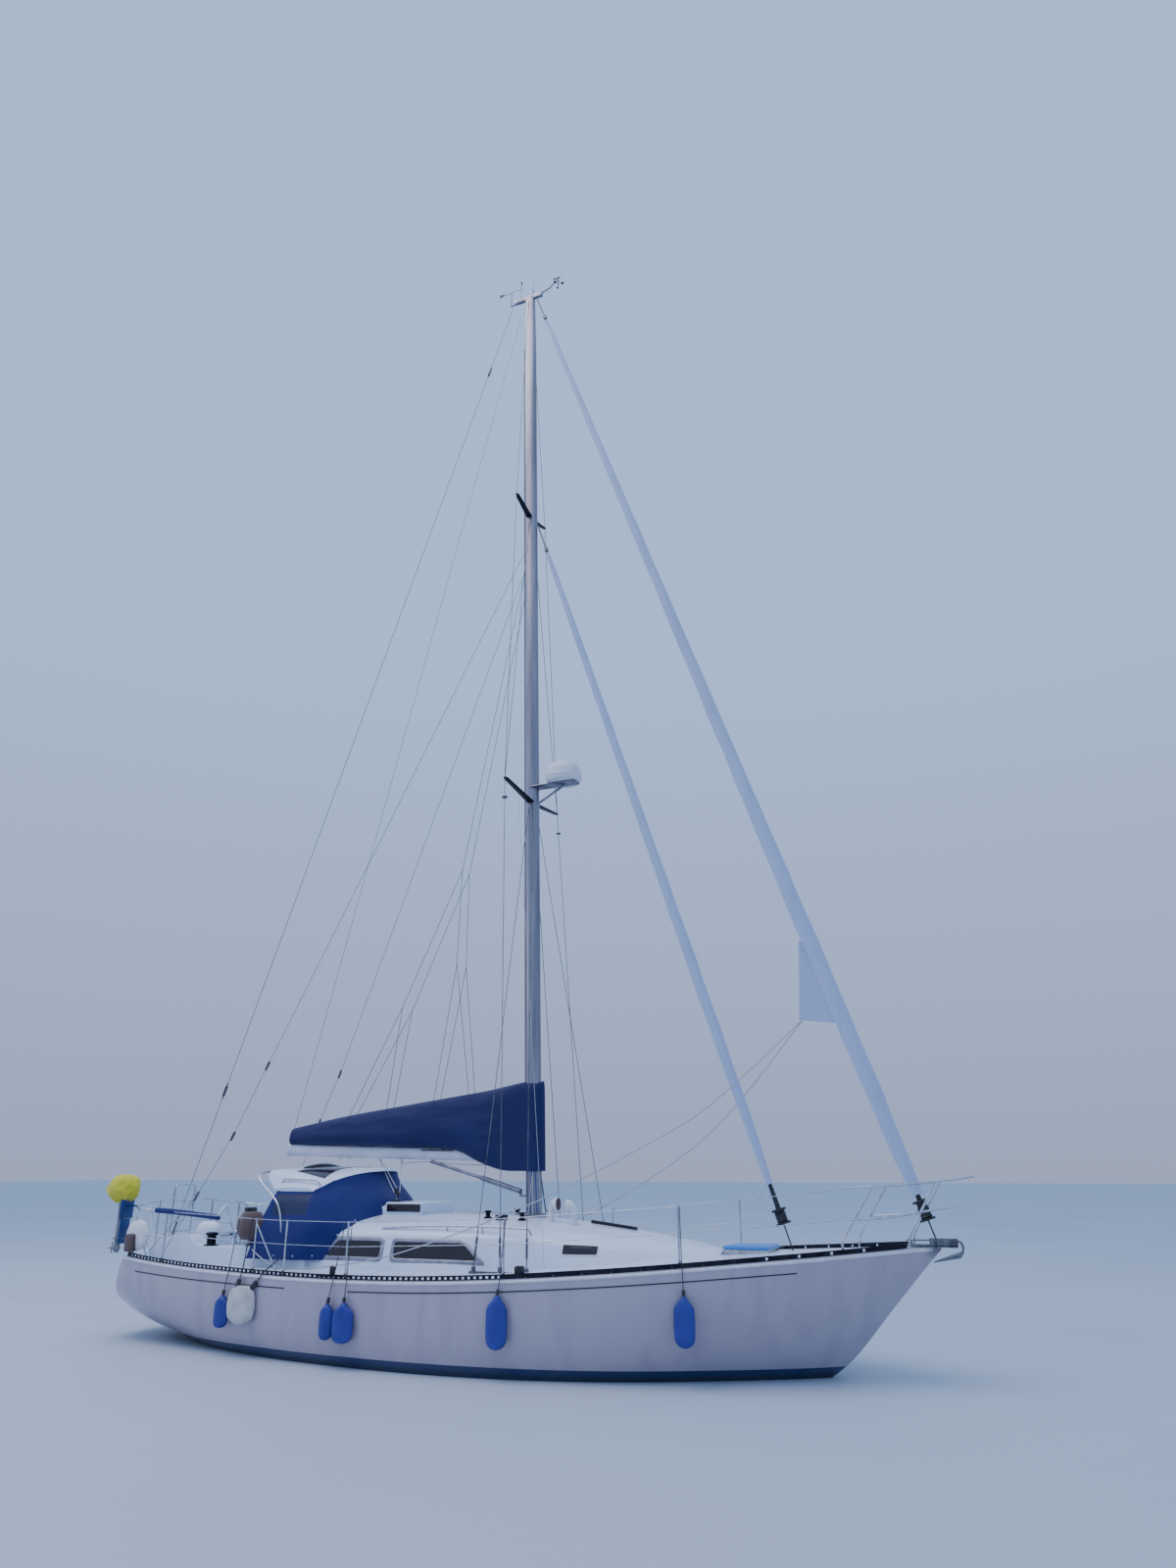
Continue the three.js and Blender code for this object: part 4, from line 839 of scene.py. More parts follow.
spans = slot_spans()
cuts = sorted({RAIL_AFT, RAIL_FORE, *(x for span in spans for x in span)})
slots = {i for i, pair in enumerate(zip(cuts, cuts[1:])) if pair in spans}
for side, word in SIDES:
    web = fitted([[beside_edge(x, side, rise, -0.008) for rise in RAIL_LEVELS] for x in cuts])
    without(web, lambda index, _: index % 3 == 1 and index // 3 in slots)
    walled(web, 0.005, offset=0)
    flange = along_edge(side, FLANGE, ticks(RAIL_AFT, RAIL_FORE, 90))
    dressed(joined(web, flange), dark_anodised, f"toe_rail_{word}")
    strake = along_edge(side, STRAKE, ticks(-5.0, 5.12, 110))
    dressed(smooth(strake, 60), white_plastic, name=f"rub_strip_{word}")
print(len(spans), "slots a side")

# %% [markdown]
# The cove line is a dark tape along the topsides, 12 mm high. It is lofted as a flat strip that lies 3 mm
# proud of the hull, and the hull's own formula gives its place.

# %% Cove line
COVE_SPANS = [(-4.69, -2.0), (-1.07, 3.83)]  # two stretches, with bare topsides between them
COVE_DROP = 0.118
COVE_SECTION = [(-0.006, -0.002), (-0.006, 0.003), (0.006, 0.003), (0.006, -0.002)]


def side_point(x, z, side, out):
    """A point on the topsides at a height, or out metres proud of them."""
    half, edge, low, across, down = (along(LINES, x, column) for column in range(1, 6))
    lean = acos((1 - min((z - low) / (edge - low), 1)) ** (down / 2))
    return hull_place(x, side * (half * sin(lean) ** (2 / across) + out), z)


def cove_ring(x, side):
    z = deck_edge(x)[1] - COVE_DROP - 0.0012 * x * x
    return [side_point(x, z + rise, side, out) for rise, out in COVE_SECTION]


for side, word in SIDES:
    tapes = [loft([cove_ring(x, side) for x in ticks(*span, 50)]) for span in COVE_SPANS]
    dressed(joined(*tapes), black_plastic, name=f"cove_tape_{word}")
print(len(COVE_SPANS), "tapes a side")

# %% [markdown]
# The coachroof is a moulded shell 38 mm thick with a rounded shoulder. Its windows are holes through the
# shell. Two helpers ease an outline's corners and move an outline inwards, as a frame's inner edge is.

# %% Coachroof
ROOF = [  # x, half breadth at the deck and the shoulder, height of the shoulder and the crown
    (-2.19, 1.05, 0.93, 1.345, 1.555), (-1.2, 1.075, 0.955, 1.355, 1.545), (-0.2, 1.07, 0.95, 1.355, 1.535),
    (0.42, 1.045, 0.92, 1.34, 1.52), (0.92, 1.0, 0.86, 1.31, 1.485), (1.75, 0.84, 0.7, 1.245, 1.39),
    (2.25, 0.66, 0.52, 1.205, 1.32), (2.85, 0.33, 0.25, 1.15, 1.212),
]
ROOF_WALL = 0.038
SLIDE = (-2.26, 1.64)  # aft end and top of the sliding hatch
HOOD = (-1.48, -0.94, 0.395, 1.672)  # aft end, fore end, half breadth and top of the sliding hatch's hood


def inset(outline, distance):
    """An outline of straight edges moved inwards. Its points go round anticlockwise."""
    moved = []
    for i, point in enumerate(outline):
        a, b, c = (Vector(p) for p in (outline[i - 1], point, outline[(i + 1) % len(outline)]))
        before, after = (b - a).normalized(), (c - b).normalized()
        inward = Vector((-before.y - after.y, before.x + after.x))
        moved.append(tuple(b + inward * distance / (1 + before.dot(after))))
    return moved


def roof_half(x, inwards=0.0, floor=-0.06):
    base, shoulder, eave, crown = (along(ROOF, x, column) for column in range(1, 5))
    foot = deck_top(x, base) + floor
    return [(base - inwards, foot), (mix(base, shoulder, 0.75) - inwards, mix(foot, eave, 0.8)),
            (shoulder - inwards, eave - 0.6 * inwards),
            (0.8 * shoulder - 0.6 * inwards, mix(eave, crown, 0.5) - inwards),
            (0.4 * shoulder, mix(eave, crown, 0.9) - inwards), (0, crown - inwards)]


def roof_ring(x, inwards=0.0, floor=-0.06):
    half = eased(roof_half(x, inwards, floor), 0.12, closed=False)
    return [(x, y, z) for y, z in half] + [(x, -y, z) for y, z in reversed(half[:-1])]


def ground(x, y):
    """The height of what lies under a point: the deck, the coachroof, the hatch or its hood."""
    if HOOD[0] < x < HOOD[1] and abs(y) < HOOD[2]:
        return HOOD[3]
    if SLIDE[0] < x <= HOOD[0] and abs(y) < HOOD[2]:
        return SLIDE[1]
    if ROOF[0][0] <= x <= ROOF[-1][0]:
        half = roof_half(x)
        for (y1, z1), (y2, z2) in zip(half, half[1:]):
            if y2 <= abs(y) <= y1:
                return max(mix(z1, z2, (y1 - abs(y)) / (y1 - y2)), deck_top(x, y))
    return deck_top(x, y)


def wall_point(side, x, z, out=0.0):
    """A point on the coachroof's side at a height, or out metres proud of it."""
    half = roof_half(x)
    (y1, z1), (y2, z2) = next(pair for pair in zip(half, half[1:]) if pair[1][1] >= z)
    return (x, side * (mix(y1, y2, (z - z1) / (z2 - z1)) + out), z)


OPENINGS = [  # outline of the frame, its width and the reach of its corners
    ("window_forward", [(-0.965, 1.035), (0.33, 1.035), (0.008, 1.3), (-0.965, 1.3)], 0.045, 0.07),
    ("window_aft", [(-1.992, 1.035), (-1.065, 1.035), (-1.065, 1.3), (-1.757, 1.3)], 0.045, 0.07),
    ("side_port", [(1.187, 1.152), (1.603, 1.152), (1.603, 1.263), (1.187, 1.275)], 0.013, 0.022),
]
coachroof = loft([roof_ring(x) for x in ticks(-2.19, 2.85, 60)])
hollow = loft([roof_ring(x, ROOF_WALL, -0.12) for x in ticks(-2.152, 2.25, 30)])
holes = [prism(eased(inset(outline, 0.67 * width), 0.6 * corner), -1.5, 1.5)
         for _, outline, width, corner in OPENINGS]
carved(coachroof, hollow, *holes, box((-2.4, -0.31, 0.8), (-1.56, 0.31, 1.9)))
softened(coachroof, 0.008, 3, 55)
smooth(coachroof)
runners = [box((-2.19, y - 0.018, 1.5), (-0.95, y + 0.018, 1.62), 0.004) for y in (-0.372, 0.372)]
dressed(joined(coachroof, *runners), deck_gelcoat, "coachroof")
print(len(holes), "window openings a side")

# %% [markdown]
# Each window has an anodised frame about 45 mm wide, screwed over the hole, with its edges rounded. The
# small port forward has a thin white rim. The smoked pane sits a little below the frame's face.

# %% Windows
FRAME_SECTION = ((0, -0.006), (0, 0.004), (0.12, 0.008), (0.88, 0.008), (1, 0.004), (1, -0.01))
PANE_SHARES = (0.01, 0.3, 0.65, 1.02)


def window(name, side, outline, width, corner):
    word = "port" if side > 0 else "starboard"
    outer = eased(outline, corner)
    inner = eased(inset(outline, width), 0.65 * corner)

    def frame_loop(share, out):
        return [wall_point(side, mix(a[0], b[0], share), mix(a[1], b[1], share), out)
                for a, b in zip(outer, inner)]

    band = [frame_loop(*place) for place in FRAME_SECTION]
    frame_piece = fitted([*band, band[0]], ring=True)
    dressed(smooth(frame_piece), window_frame_metal if width > 0.03 else white_plastic,
            name=f"{name}_frame_{word}")
    middle = [sum(p[k] for p in inner) / len(inner) for k in (0, 1)]

    def pane_ring(share, out):
        return [wall_point(side, mix(middle[0], x, share), mix(middle[1], z, share), out) for x, z in inner]

    rows = [pane_ring(s, -0.012) for s in PANE_SHARES] + [pane_ring(s, -0.004) for s in reversed(PANE_SHARES)]
    dressed(smooth(loft(rows)), smoked_pane, f"{name}_{word}")


for side in (1, -1):
    for name, *form in OPENINGS:
        window(name, side, *form)
print("six windows")

# %% [markdown]
# The companionway closes with three teak washboards and a hatch that slides forward under a low hood. The
# foredeck hatch is a pane in a metal frame, and it wears a light-blue cover against the sun.

# %% Hatches
boards = [box((-2.184, -0.3094, low), (-2.16, 0.3094, high), 0.003)
          for low, high in ((0.627, 0.922), (0.926, 1.22), (1.224, 1.518))]
dressed(joined(*boards), teak, "washboards")
slide = box((-2.26, -0.3534, 1.598), (-1.5, 0.3534, 1.63), 0.006)
lip = box((-2.262, -0.3, 1.554), (-2.236, 0.3, 1.629), 0.006)
dressed(joined(slide, lip), deck_gelcoat, "companionway_hatch")
grip_line = [(-2.2, y, z) for y, z in ((-0.1, 1.63), (-0.07, 1.652), (0.07, 1.652), (0.1, 1.63))]
dressed(smooth(tube(flowing(grip_line, 4), 0.007)), stainless, body=NODE_BODY["companionway_hatch"],
        name="hatch_grip")

hood = box((HOOD[0], -HOOD[2], 1.48), (HOOD[1], HOOD[2], HOOD[3]))
softened(hood, 0.02, 4)
carved(hood, box((HOOD[0] - 0.1, -0.362, 1.4), (HOOD[1] - 0.03, 0.362, HOOD[3] - 0.025)))
dressed(smooth(hood), deck_gelcoat, "hatch_hood")

HATCH = (3.15, 0, deck_top(3.15, 0))  # middle of the foredeck hatch, on the deck
RIM, LID = 0.25, 0.262  # half the sides of its frame and its lid
rim = box((-RIM, -RIM, -0.05), (RIM, RIM, 0.04), 0.006, at=HATCH)
dressed(rim, stainless, "foredeck_hatch_frame")
lid = box((-LID, -LID, 0.0405), (LID, LID, 0.07), 0.008, at=HATCH)
dressed(lid, window_frame_metal, "foredeck_hatch")

COVER_RINGS = [(0, 0.086), (0.3, 0.085), (0.6, 0.082), (0.85, 0.079), (0.96, 0.077), (1.01, 0.071),
               (1.03, 0.06), (1.04, 0.053), (1.045, 0.045)]  # share of the lid's size, height above deck
lid_outline = eased([(-LID, -LID), (LID, -LID), (LID, LID), (-LID, LID)], 0.05)


def cover_ring(share, rise):
    places = [(HATCH[0] + x * share, y * share) for x, y in lid_outline]
    return [(x, y, HATCH[2] + rise + 0.006 * noise.noise((x * 7, y * 7, 0)) * min(share, 1))
            for x, y in places]


hatch_cover = fitted([cover_ring(*ring) for ring in COVER_RINGS], ring=True)
modify(hatch_cover, "SUBSURF", levels=1, render_levels=1)
dressed(smooth(hatch_cover, 60), blue_pad_cloth, body=NODE_BODY["foredeck_hatch"], name="hatch_cover")
print("hatches")

# %% [markdown]
# The dodger has a hard moulded top, domed like a blunt arrow, with a grab rail, a smoked panel on each side
# and a low arch near its aft edge. The top is a loft of sections across the boat, whose height and edges
# are short formulas, so that pieces fastened to it can ask for a point on it.

# %% Dodger top
TOP_HALF = 0.97
TOP_THICK = 0.034
TOP_AFT = -3.0
TOP_NOSE = (-1.5, 0.674, 0.27)  # x of the arrow's point, how fast its edges sweep back, and its bluntness


def top_height(y):
    u = abs(y) / TOP_HALF
    return 2.075 - 0.03 * min(u, 1) ** 2 - 0.215 * smoothstep(u, 0.8, 1.02)


def brow_height(y):
    return min(2.074 - 0.241 * min(abs(y) / TOP_HALF, 1) ** 2.6, top_height(y))


def top_fore(y):
    return TOP_NOSE[0] - TOP_NOSE[1] * hypot(y, TOP_NOSE[2])


def top_aft(y):
    return TOP_AFT + 0.2 * smoothstep(abs(y) / TOP_HALF, 0.86, 1)


def top_outline(y):
    """The hard top's section at a distance off the middle, as (x, z)."""
    z, brow, aft, fore = top_height(y), brow_height(y), top_aft(y), top_fore(y)
    return [(aft, z - TOP_THICK), (aft, z), (mix(aft, fore, 0.5), mix(z, brow, 0.35) + 0.014),
            (fore - 0.06, brow + 0.004), (fore, brow - TOP_THICK)]


def on_top(x, y, out=0.0):
    """A point on the hard top."""
    upper = top_outline(y)[1:4]
    i = 0 if x < upper[1][0] else 1
    (x1, z1), (x2, z2) = upper[i:i + 2]
    return (x, y, mix(z1, z2, (x - x1) / (x2 - x1)) + out)


hard_top = loft([[(x, u * TOP_HALF, z) for x, z in eased(top_outline(u * TOP_HALF), 0.014, 3)]
                 for u in ticks(-1, 1, 60)])
dressed(smooth(hard_top), moulded_gelcoat, "dodger_roof")
bow = mirrored([(-2.47, -1.145, 1.33), (-2.605, -1.095, 1.65), (-2.97, -1.025, 1.925), (-3.03, -0.9, 2.02),
                (-3.042, -0.5, 2.05), (-3.045, 0, 2.056)])
dressed(smooth(tube(flowing(bow, 6), 0.013, 12), 60), stainless, "dodger_bow")

PANEL = ((-2.59, -2.16), (0.2, 0.78))  # spans of x and y of the smoked panels
for side, word in SIDES:
    sheet = fitted([[on_top(x, side * y, 0.004) for x in ticks(*PANEL[0], 8)]
                    for y in ticks(*PANEL[1], 10)])
    dressed(smooth(walled(sheet, 0.008, offset=0)), smoked_pane, name=f"top_panel_{word}")
    grab = [on_top(-2.72, side * 0.91), on_top(-2.68, side * 0.91, 0.045), on_top(-2.19, side * 0.9, 0.05),
            on_top(-2.13, side * 0.89)]
    dressed(pipework(thick(0.011, eased(grab, 0.04, closed=False))), stainless, name=f"top_rail_{word}")
ARCH_X = -2.76
arch = mirrored([(ARCH_X, -0.46, 2.07), (ARCH_X, -0.43, 2.1), (ARCH_X, -0.2, 2.132), (ARCH_X, 0, 2.143)])
dressed(pipework(thick(0.012, arch)), white_plastic, name="top_arch")
filler = loft([[(x, y, z) for _, y, z in arch] for x in (ARCH_X - 0.004, ARCH_X + 0.004)])
dressed(filler, black_plastic, name="top_arch_filler")
print("dodger top")

# %% [markdown]
# The dodger's canvas surround is one sheet: it stands on the side deck and the coachroof and is fastened
# under the top. A clear panel is sewn into each side. Its upright lines run from the ground below to the
# underside of the top, and noise gives it the ripples of cloth that is stretched a little unevenly.

# %% Dodger canvas
# height, half breadth, aft edge, the corner where the side turns in, x and y of the shoulder, and the nose
SURROUND = [(1.03, 1.195, -2.935, -2.27, -1.75, 0.95, -1.5), (1.26, 1.165, -2.87, -2.14, -1.72, 0.95, -1.47),
            (1.39, 1.14, -2.84, -2.04, -1.64, 0.87, -1.45), (1.47, 1.115, -2.82, -2.01, -1.68, 0.835, -1.45),
            (1.68, 1.04, -2.76, -2.09, -1.84, 0.8, -1.5), (1.79, 0.972, -2.74, -2.15, -1.945, 0.79, -1.6),
            (1.87, 0.97, -2.72, -2.17, -2.03, 0.775, -1.68), (2.04, 0.95, -2.7, -2.18, -2.11, 0.765, -1.79)]
NOSE_HALF = 0.3
AROUND, UPWARDS = 130, 36


def canvas_level(half, aft, corner, shoulder_x, shoulder_y, nose):
    """One level of the sheet as (x, y) points spread evenly round it."""
    side = [(aft, half), (corner, half), (shoulder_x, shoulder_y), (nose, NOSE_HALF)]
    return evenly(eased([(x, -y) for x, y in side] + side[::-1], 0.14, 6, closed=False), AROUND)


def canvas_column(places):
    """One upright line of the sheet, from its foot to the underside of the hard top."""
    table = [(row[0], *place) for row, place in zip(SURROUND, places)]
    foot, head = 1.2, 1.9
    for _ in range(10):
        x, y = along(table, foot, 1), along(table, foot, 2)
        foot = mix(foot, max(ground(x, y) + 0.004, 1.03 if abs(y) > 1.0 else 0), 0.7)
        x, y = along(table, head, 1), along(table, head, 2)
        aft, fore = top_aft(y), top_fore(y)
        head = mix(head, mix(top_height(y), brow_height(y), (x - aft) / (fore - aft)) - TOP_THICK + 0.008,
                   0.7)
    return [(along(table, z, 1), along(table, z, 2), z) for z in ticks(foot, head, UPWARDS)]


levels = [canvas_level(*row[1:]) for row in SURROUND]
columns = [canvas_column(places) for places in zip(*levels)]
canvas = fitted([[column[i] for column in columns] for i in range(UPWARDS + 1)])
for vertex in canvas.data.vertices:
    x, y, z = vertex.co
    ripple = noise.noise((x * 3, y * 3, z * 5)) + 0.5 * noise.noise((x * 9, y * 9, z * 4))
    vertex.co += Vector((0.3, copysign(1, y), 0)) * 0.006 * ripple
canvas.name = "dodger_cloth"
canvas.data.materials.append(blue_canvas.material)
# the clear panels take the dark window finish, painted shade for the space behind them
canvas.data.materials.append(dodger_window.material)
CLEAR = ((-2.68, -2.18), (1.52, 1.775))  # spans of x and z of the clear panels
for face in canvas.data.polygons:
    x, y, z = face.center
    clear = CLEAR[0][0] < x < CLEAR[0][1] and CLEAR[1][0] < z < CLEAR[1][1] and abs(y) > 0.9
    face.material_index = 1 if clear else 0
walled(canvas, 0.002)
smooth(canvas, 60)
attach(canvas, "yacht")
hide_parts("dodger_canvas")

# %% [markdown]
# The mast is an oval extrusion, stepped on the coachroof, with a track for the sail on its aft edge. Two
# pairs of dark spreaders hold the shrouds out. They are foils that narrow towards their tips.

# %% Mast
MAST_FOOT, MAST_HEAD = (0.425, 1.6), (0.055, 16.35)  # x and z
MAST_HALF = (0.105, 0.0725)
SPREADERS = [(6.93, 7.035, 0.85, 0.12), (11.72, 11.88, 0.513, 0.105)]  # root, tip, half span, chord


def mast_x(z):
    return mix(MAST_FOOT[0], MAST_HEAD[0], (z - MAST_FOOT[1]) / (MAST_HEAD[1] - MAST_FOOT[1]))


def mast_ring(z, grow=0.0):
    taper = mix(1, 0.82, smoothstep(z, 15.0, 16.6))
    return oval((mast_x(z), 0, z), [half * taper + grow for half in MAST_HALF], 36)


def spreader(root, tip, span, chord, side):
    rings = []
    for t in [*ticks(0, 0.96, 8), 0.99, 1.0]:
        z, width = mix(root, tip, t), mix(chord, chord * 0.62, t) * (1 if t < 0.99 else 0.6)
        rings.append(oval((mast_x(z), side * span * t, z), (width / 2, mix(0.018, 0.012, t)), 18, STAND))
    return loft(rings)


levels = [*ticks(1.5, 15.0, 12), *ticks(15.1, 16.34, 6)]
extrusion = loft([mast_ring(z) for z in levels] + [mast_ring(16.352, -0.012)])
crane = box((-0.235, -0.032, 16.29), (0.29, 0.032, 16.375), 0.012)
lugs = [box((0.223, -0.03, z), (mast_x(2.2), 0.03, z + 0.03), 0.005) for z in (2.09, 2.32)]
vang_lug = box((0.225, -0.026, 1.74), (mast_x(1.75), 0.026, 1.765), 0.005)
step = turned([(0, -0.05), (0.15, -0.05), (0.15, 0.012), (0.125, 0.02), (0.0, 0.02)],
              (mast_x(1.52), 0, 1.535))
mast = joined(extrusion, crane, *lugs, vang_lug, step)
dressed(smooth(mast), spar, "mast")
arms = [spreader(*row, side) for row in SPREADERS for side in (1, -1)]
dressed(smooth(joined(*arms)), dark_anodised, name="spreaders")
TRACK = ((-0.116, -0.012), (-0.1, -0.012), (-0.1, 0.012), (-0.116, 0.012))  # x from the mast's middle, and y
track = loft([[(mast_x(z) + x, y, z) for x, y in TRACK] for z in ticks(2.3, 15.2, 3)])
dressed(track, dark_anodised, name="sail_track")
print("mast")

# %% [markdown]
# The radar is a white dome half a metre wide, moulded in two halves. It is a profile spun round its own
# middle, and it stands on a shelf in front of the mast with a strut below.

# %% Radar
RADAR = (0.775, 0, 7.1763)
profile = [(0, 0), (0.22, 0), (0.238, 0.008), (0.246, 0.05), (0.254, 0.056), (0.254, 0.066), (0.247, 0.072),
           (0.25, 0.14), (0.24, 0.2), (0.215, 0.243), (0.17, 0.268), (0.1, 0.281), (0, 0.285)]
dressed(turned(profile, RADAR, 48), dome_plastic, "radar_dome")
shelf = box((mast_x(7.1), -0.09, 7.15), (0.98, 0.09, 7.175), 0.006)
strut = tube([(mast_x(6.9) + 0.06, 0, 6.9), (0.82, 0, 7.16)], 0.018, 14)
dressed(joined(shelf, smooth(strut, 60)), spar, name="radar_bracket")
print("radar")

# %% [markdown]
# The boom is a white-painted oval extrusion with cast ends. The rigid vang is a tube in a wider tube.

# %% Boom and vang
BOOM_PIVOT, BOOM_END = (0.245, 2.22), (-3.37, 2.315)  # x and z
BOOM_HALF = (0.0525, 0.077)


def boom_z(x):
    return mix(BOOM_PIVOT[1], BOOM_END[1], (BOOM_PIVOT[0] - x) / (BOOM_PIVOT[0] - BOOM_END[0]))


def boom_ring(x, grow=0.0):
    return oval((x, 0, boom_z(x)), [half + grow for half in BOOM_HALF], 32, FACE_AFT)


ends = [(-3.372, -0.012), (-3.362, 0.003), (-3.29, 0.003), (-3.288, 0), (0.1, 0), (0.102, 0.003),
        (0.18, 0.003), (0.186, -0.01)]
boom_tube = loft([boom_ring(*row) for row in ends])
pin = tube([(BOOM_PIVOT[0], 0, 2.122), (BOOM_PIVOT[0], 0, 2.318)], 0.016, 16)
toggle = box((0.17, -0.014, 2.18), (BOOM_PIVOT[0], 0.014, 2.26), 0.004)
dressed(smooth(joined(boom_tube, pin, toggle)), boom_spar, "boom")
vang = [tube([(-1.075, 0, 2.16), (-0.28, 0, 1.948)], 0.022, 16),
        tube([(-0.32, 0, 1.959), (0.235, 0, 1.803)], 0.032, 20),
        tube([(BOOM_PIVOT[0], 0, 1.766), (BOOM_PIVOT[0], 0, 1.83)], 0.014, 14)]
dressed(smooth(joined(*vang)), spar, "boom_vang")
print("boom")

# %% [markdown]
# The sail cover is one cloth that wraps the stowed mainsail and the foot of the mast. Its lower edge lies
# along the top of the boom. It is fitted over sections that go from a rounded hump above the boom to upright
# sides round the mast, and near the gooseneck its sections lean over with the mast.

# %% Sail cover
# x, lower edge, ridge and half breadth, from the boom's end to the front of the mast
COVER = [(-3.32, 2.385, 2.6, 0.085), (-2.5, 2.37, 2.74, 0.14), (-1.5, 2.34, 2.87, 0.165),
         (-0.7, 2.3, 2.97, 0.165), (-0.3, 2.14, 3.02, 0.155), (0.04, 2.05, 3.08, 0.13),
         (0.3, 2.04, 3.12, 0.112), (0.44, 2.04, 3.12, 0.108), (0.51, 2.04, 3.12, 0.085),
         (0.545, 2.04, 3.12, 0.045), (0.556, 2.04, 3.12, 0.004)]
COVER_STEPS = 28


def cover_section(x):
    """Half the cloth's section, from the lower edge to the ridge, as (half breadth, height)."""
    low, high, half = (along(COVER, x, column) for column in (1, 2, 3))
    wrap = smoothstep(x, -0.5, 0.25)  # 0 over the boom, 1 round the mast, where the sides stand straight
    shares = [(0.45, 0), (0.85, 0.1), (1, 0.32), (0.86, 0.62), (0.5, 0.9), (0.0, 1)]
    upright = [(1, 0), (1, 0.1), (1, 0.32), (1, 0.62), (1, 0.97), (0.0, 1)]
    points = [(mix(a, c, wrap) * half, mix(low, high, mix(b, d, wrap)))
              for (a, b), (c, d) in zip(shares, upright)]
    return evenly(eased(points, 0.12, 6, closed=False), COVER_STEPS)


rows = []
for x in [*ticks(-3.32, -0.4, 75), *ticks(-0.37, 0.5, 40), 0.52, 0.535, 0.547, 0.553, 0.556]:
    half = cover_section(x)
    lean = [mast_x(z) - mast_x(2.5) for _, z in half]
    share = smoothstep(x, -0.1, 0.4)
    side = [(x + share * shift, y, z) for (y, z), shift in zip(half, lean)]
    rows.append([(a, -b, c) for a, b, c in side] + [(a, b, c) for a, b, c in reversed(side[:-1])])
cover = fitted(rows)
for vertex in cover.data.vertices:
    x, y, z = vertex.co
    fold = noise.noise((x * 1.3, y * 2, z * 9)) + 0.5 * noise.noise((x * 4, y * 3, z * 16))
    loose = smoothstep(x, 0.3, -0.3)
    vertex.co += Vector((0, copysign(1, y), 0.3)) * 0.014 * fold * loose * min(abs(y) / 0.05, 1)


def over_mast(_, centre):
    x, y, z = centre
    return ((x - mast_x(z)) / 0.118) ** 2 + (y / 0.086) ** 2 < 1 and z > 2.8


without(cover, over_mast)
walled(cover, 0.002)
smooth(cover, 60)
cover.name = "cover_cloth"
cover.data.materials.append(cover_canvas.material)
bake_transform(cover)
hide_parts("sail_cover", "mast_collar")
print("cover")

# %% [markdown]
# Standing rigging is stranded stainless wire, 9 mm thick. The hollows between the strands lie in shade, and
# that shade is painted into its colour, which is darker and greyer than the polished fittings'. Each wire
# ends at the deck in a turnbuckle, which sets its tension, and in a plate that carries its pull into the
# hull.

# %% Standing rigging
WIRE = 0.0045
CHAINPLATE = (0.6, 1.215)
LOWER_SPREAD = 0.33  # how far fore and aft of the cap shroud the lower shrouds are
LOWERS_TOP, UPPERS_TOP, CAPS_TOP = 6.85, 11.65, 16.2  # heights where the shrouds meet the mast


def part_way(a, b, length):
    """The point at a distance from a towards b."""
    return tuple(Vector(a) + (Vector(b) - Vector(a)).normalized() * length)


def turnbuckle(foot, head):
    """Runs for a wire's lower end: threaded studs in a thicker body."""
    spots = [part_way(foot, head, length) for length in (-0.02, 0.1, 0.11, 0.3, 0.31, 0.42)]
    return [((spots[0], spots[5]), 0.007), ((spots[1], spots[4]), 0.0125), ((spots[2], spots[3]), 0.014)]


for side, word in SIDES:
    lower_tip, upper_tip = ((mast_x(tip), side * (span + 0.004), tip) for _, tip, span, _ in SPREADERS)
    feet = [(CHAINPLATE[0] + shift, side * CHAINPLATE[1], deck_top(*CHAINPLATE) + 0.05)
            for shift in (0, -LOWER_SPREAD, LOWER_SPREAD)]
    heads = [lower_tip, *((mast_x(LOWERS_TOP) + shift, side * 0.072, LOWERS_TOP) for shift in (-0.02, 0.03))]
    runs = thick(WIRE, ((mast_x(CAPS_TOP), side * 0.064, CAPS_TOP), upper_tip), (upper_tip, lower_tip),
                 ((mast_x(UPPERS_TOP), side * 0.072, UPPERS_TOP), lower_tip), *zip(feet, heads))
    for foot, head in zip(feet, heads):
        runs += turnbuckle(foot, head)
    disc = [part_way(lower_tip, feet[0], length) for length in (0.29, 0.305)]
    plates = [box((-0.026, -0.006, -0.09), (0.026, 0.006, 0.005), 0.003, at=foot) for foot in feet]
    base = box((-0.38, -0.022, -0.02), (0.38, 0.022, 0.008), 0.003,
               at=(CHAINPLATE[0], side * CHAINPLATE[1], deck_top(*CHAINPLATE)))
    wires = pipework(runs + thick(0.04, disc), 8)
    dressed(joined(wires, *plates, base), wire_strand, f"shrouds_{word}")

BACKSTAY = ((-0.24, 0, 16.33), (-5.3, 0, 1.09))
runs = [(BACKSTAY, WIRE), *turnbuckle(BACKSTAY[1], BACKSTAY[0])]
for length in (1.43, 13.9):
    ends = [part_way(*BACKSTAY, length + shift) for shift in (-0.11, -0.07, 0.07, 0.11)]
    runs += [((ends[0], ends[3]), 0.011), ((ends[1], ends[2]), 0.02)]
backstay = pipework(runs, 10)
foot_plate = box((-5.31, -0.014, 0.92), (-5.272, 0.014, 1.11), 0.004)
dressed(joined(backstay, foot_plate), wire_strand, "backstay")
print("shrouds and backstay")

# %% [markdown]
# Both headsails are stowed by rolling them round their stays. A rolled sail is a long soft spindle, thick
# where the sail is wide. Its edge winds up it as a spiral step, and the genoa's corner is left hanging out,
# with the sheets tied to it. The cloth is laid out as rings round the stay.

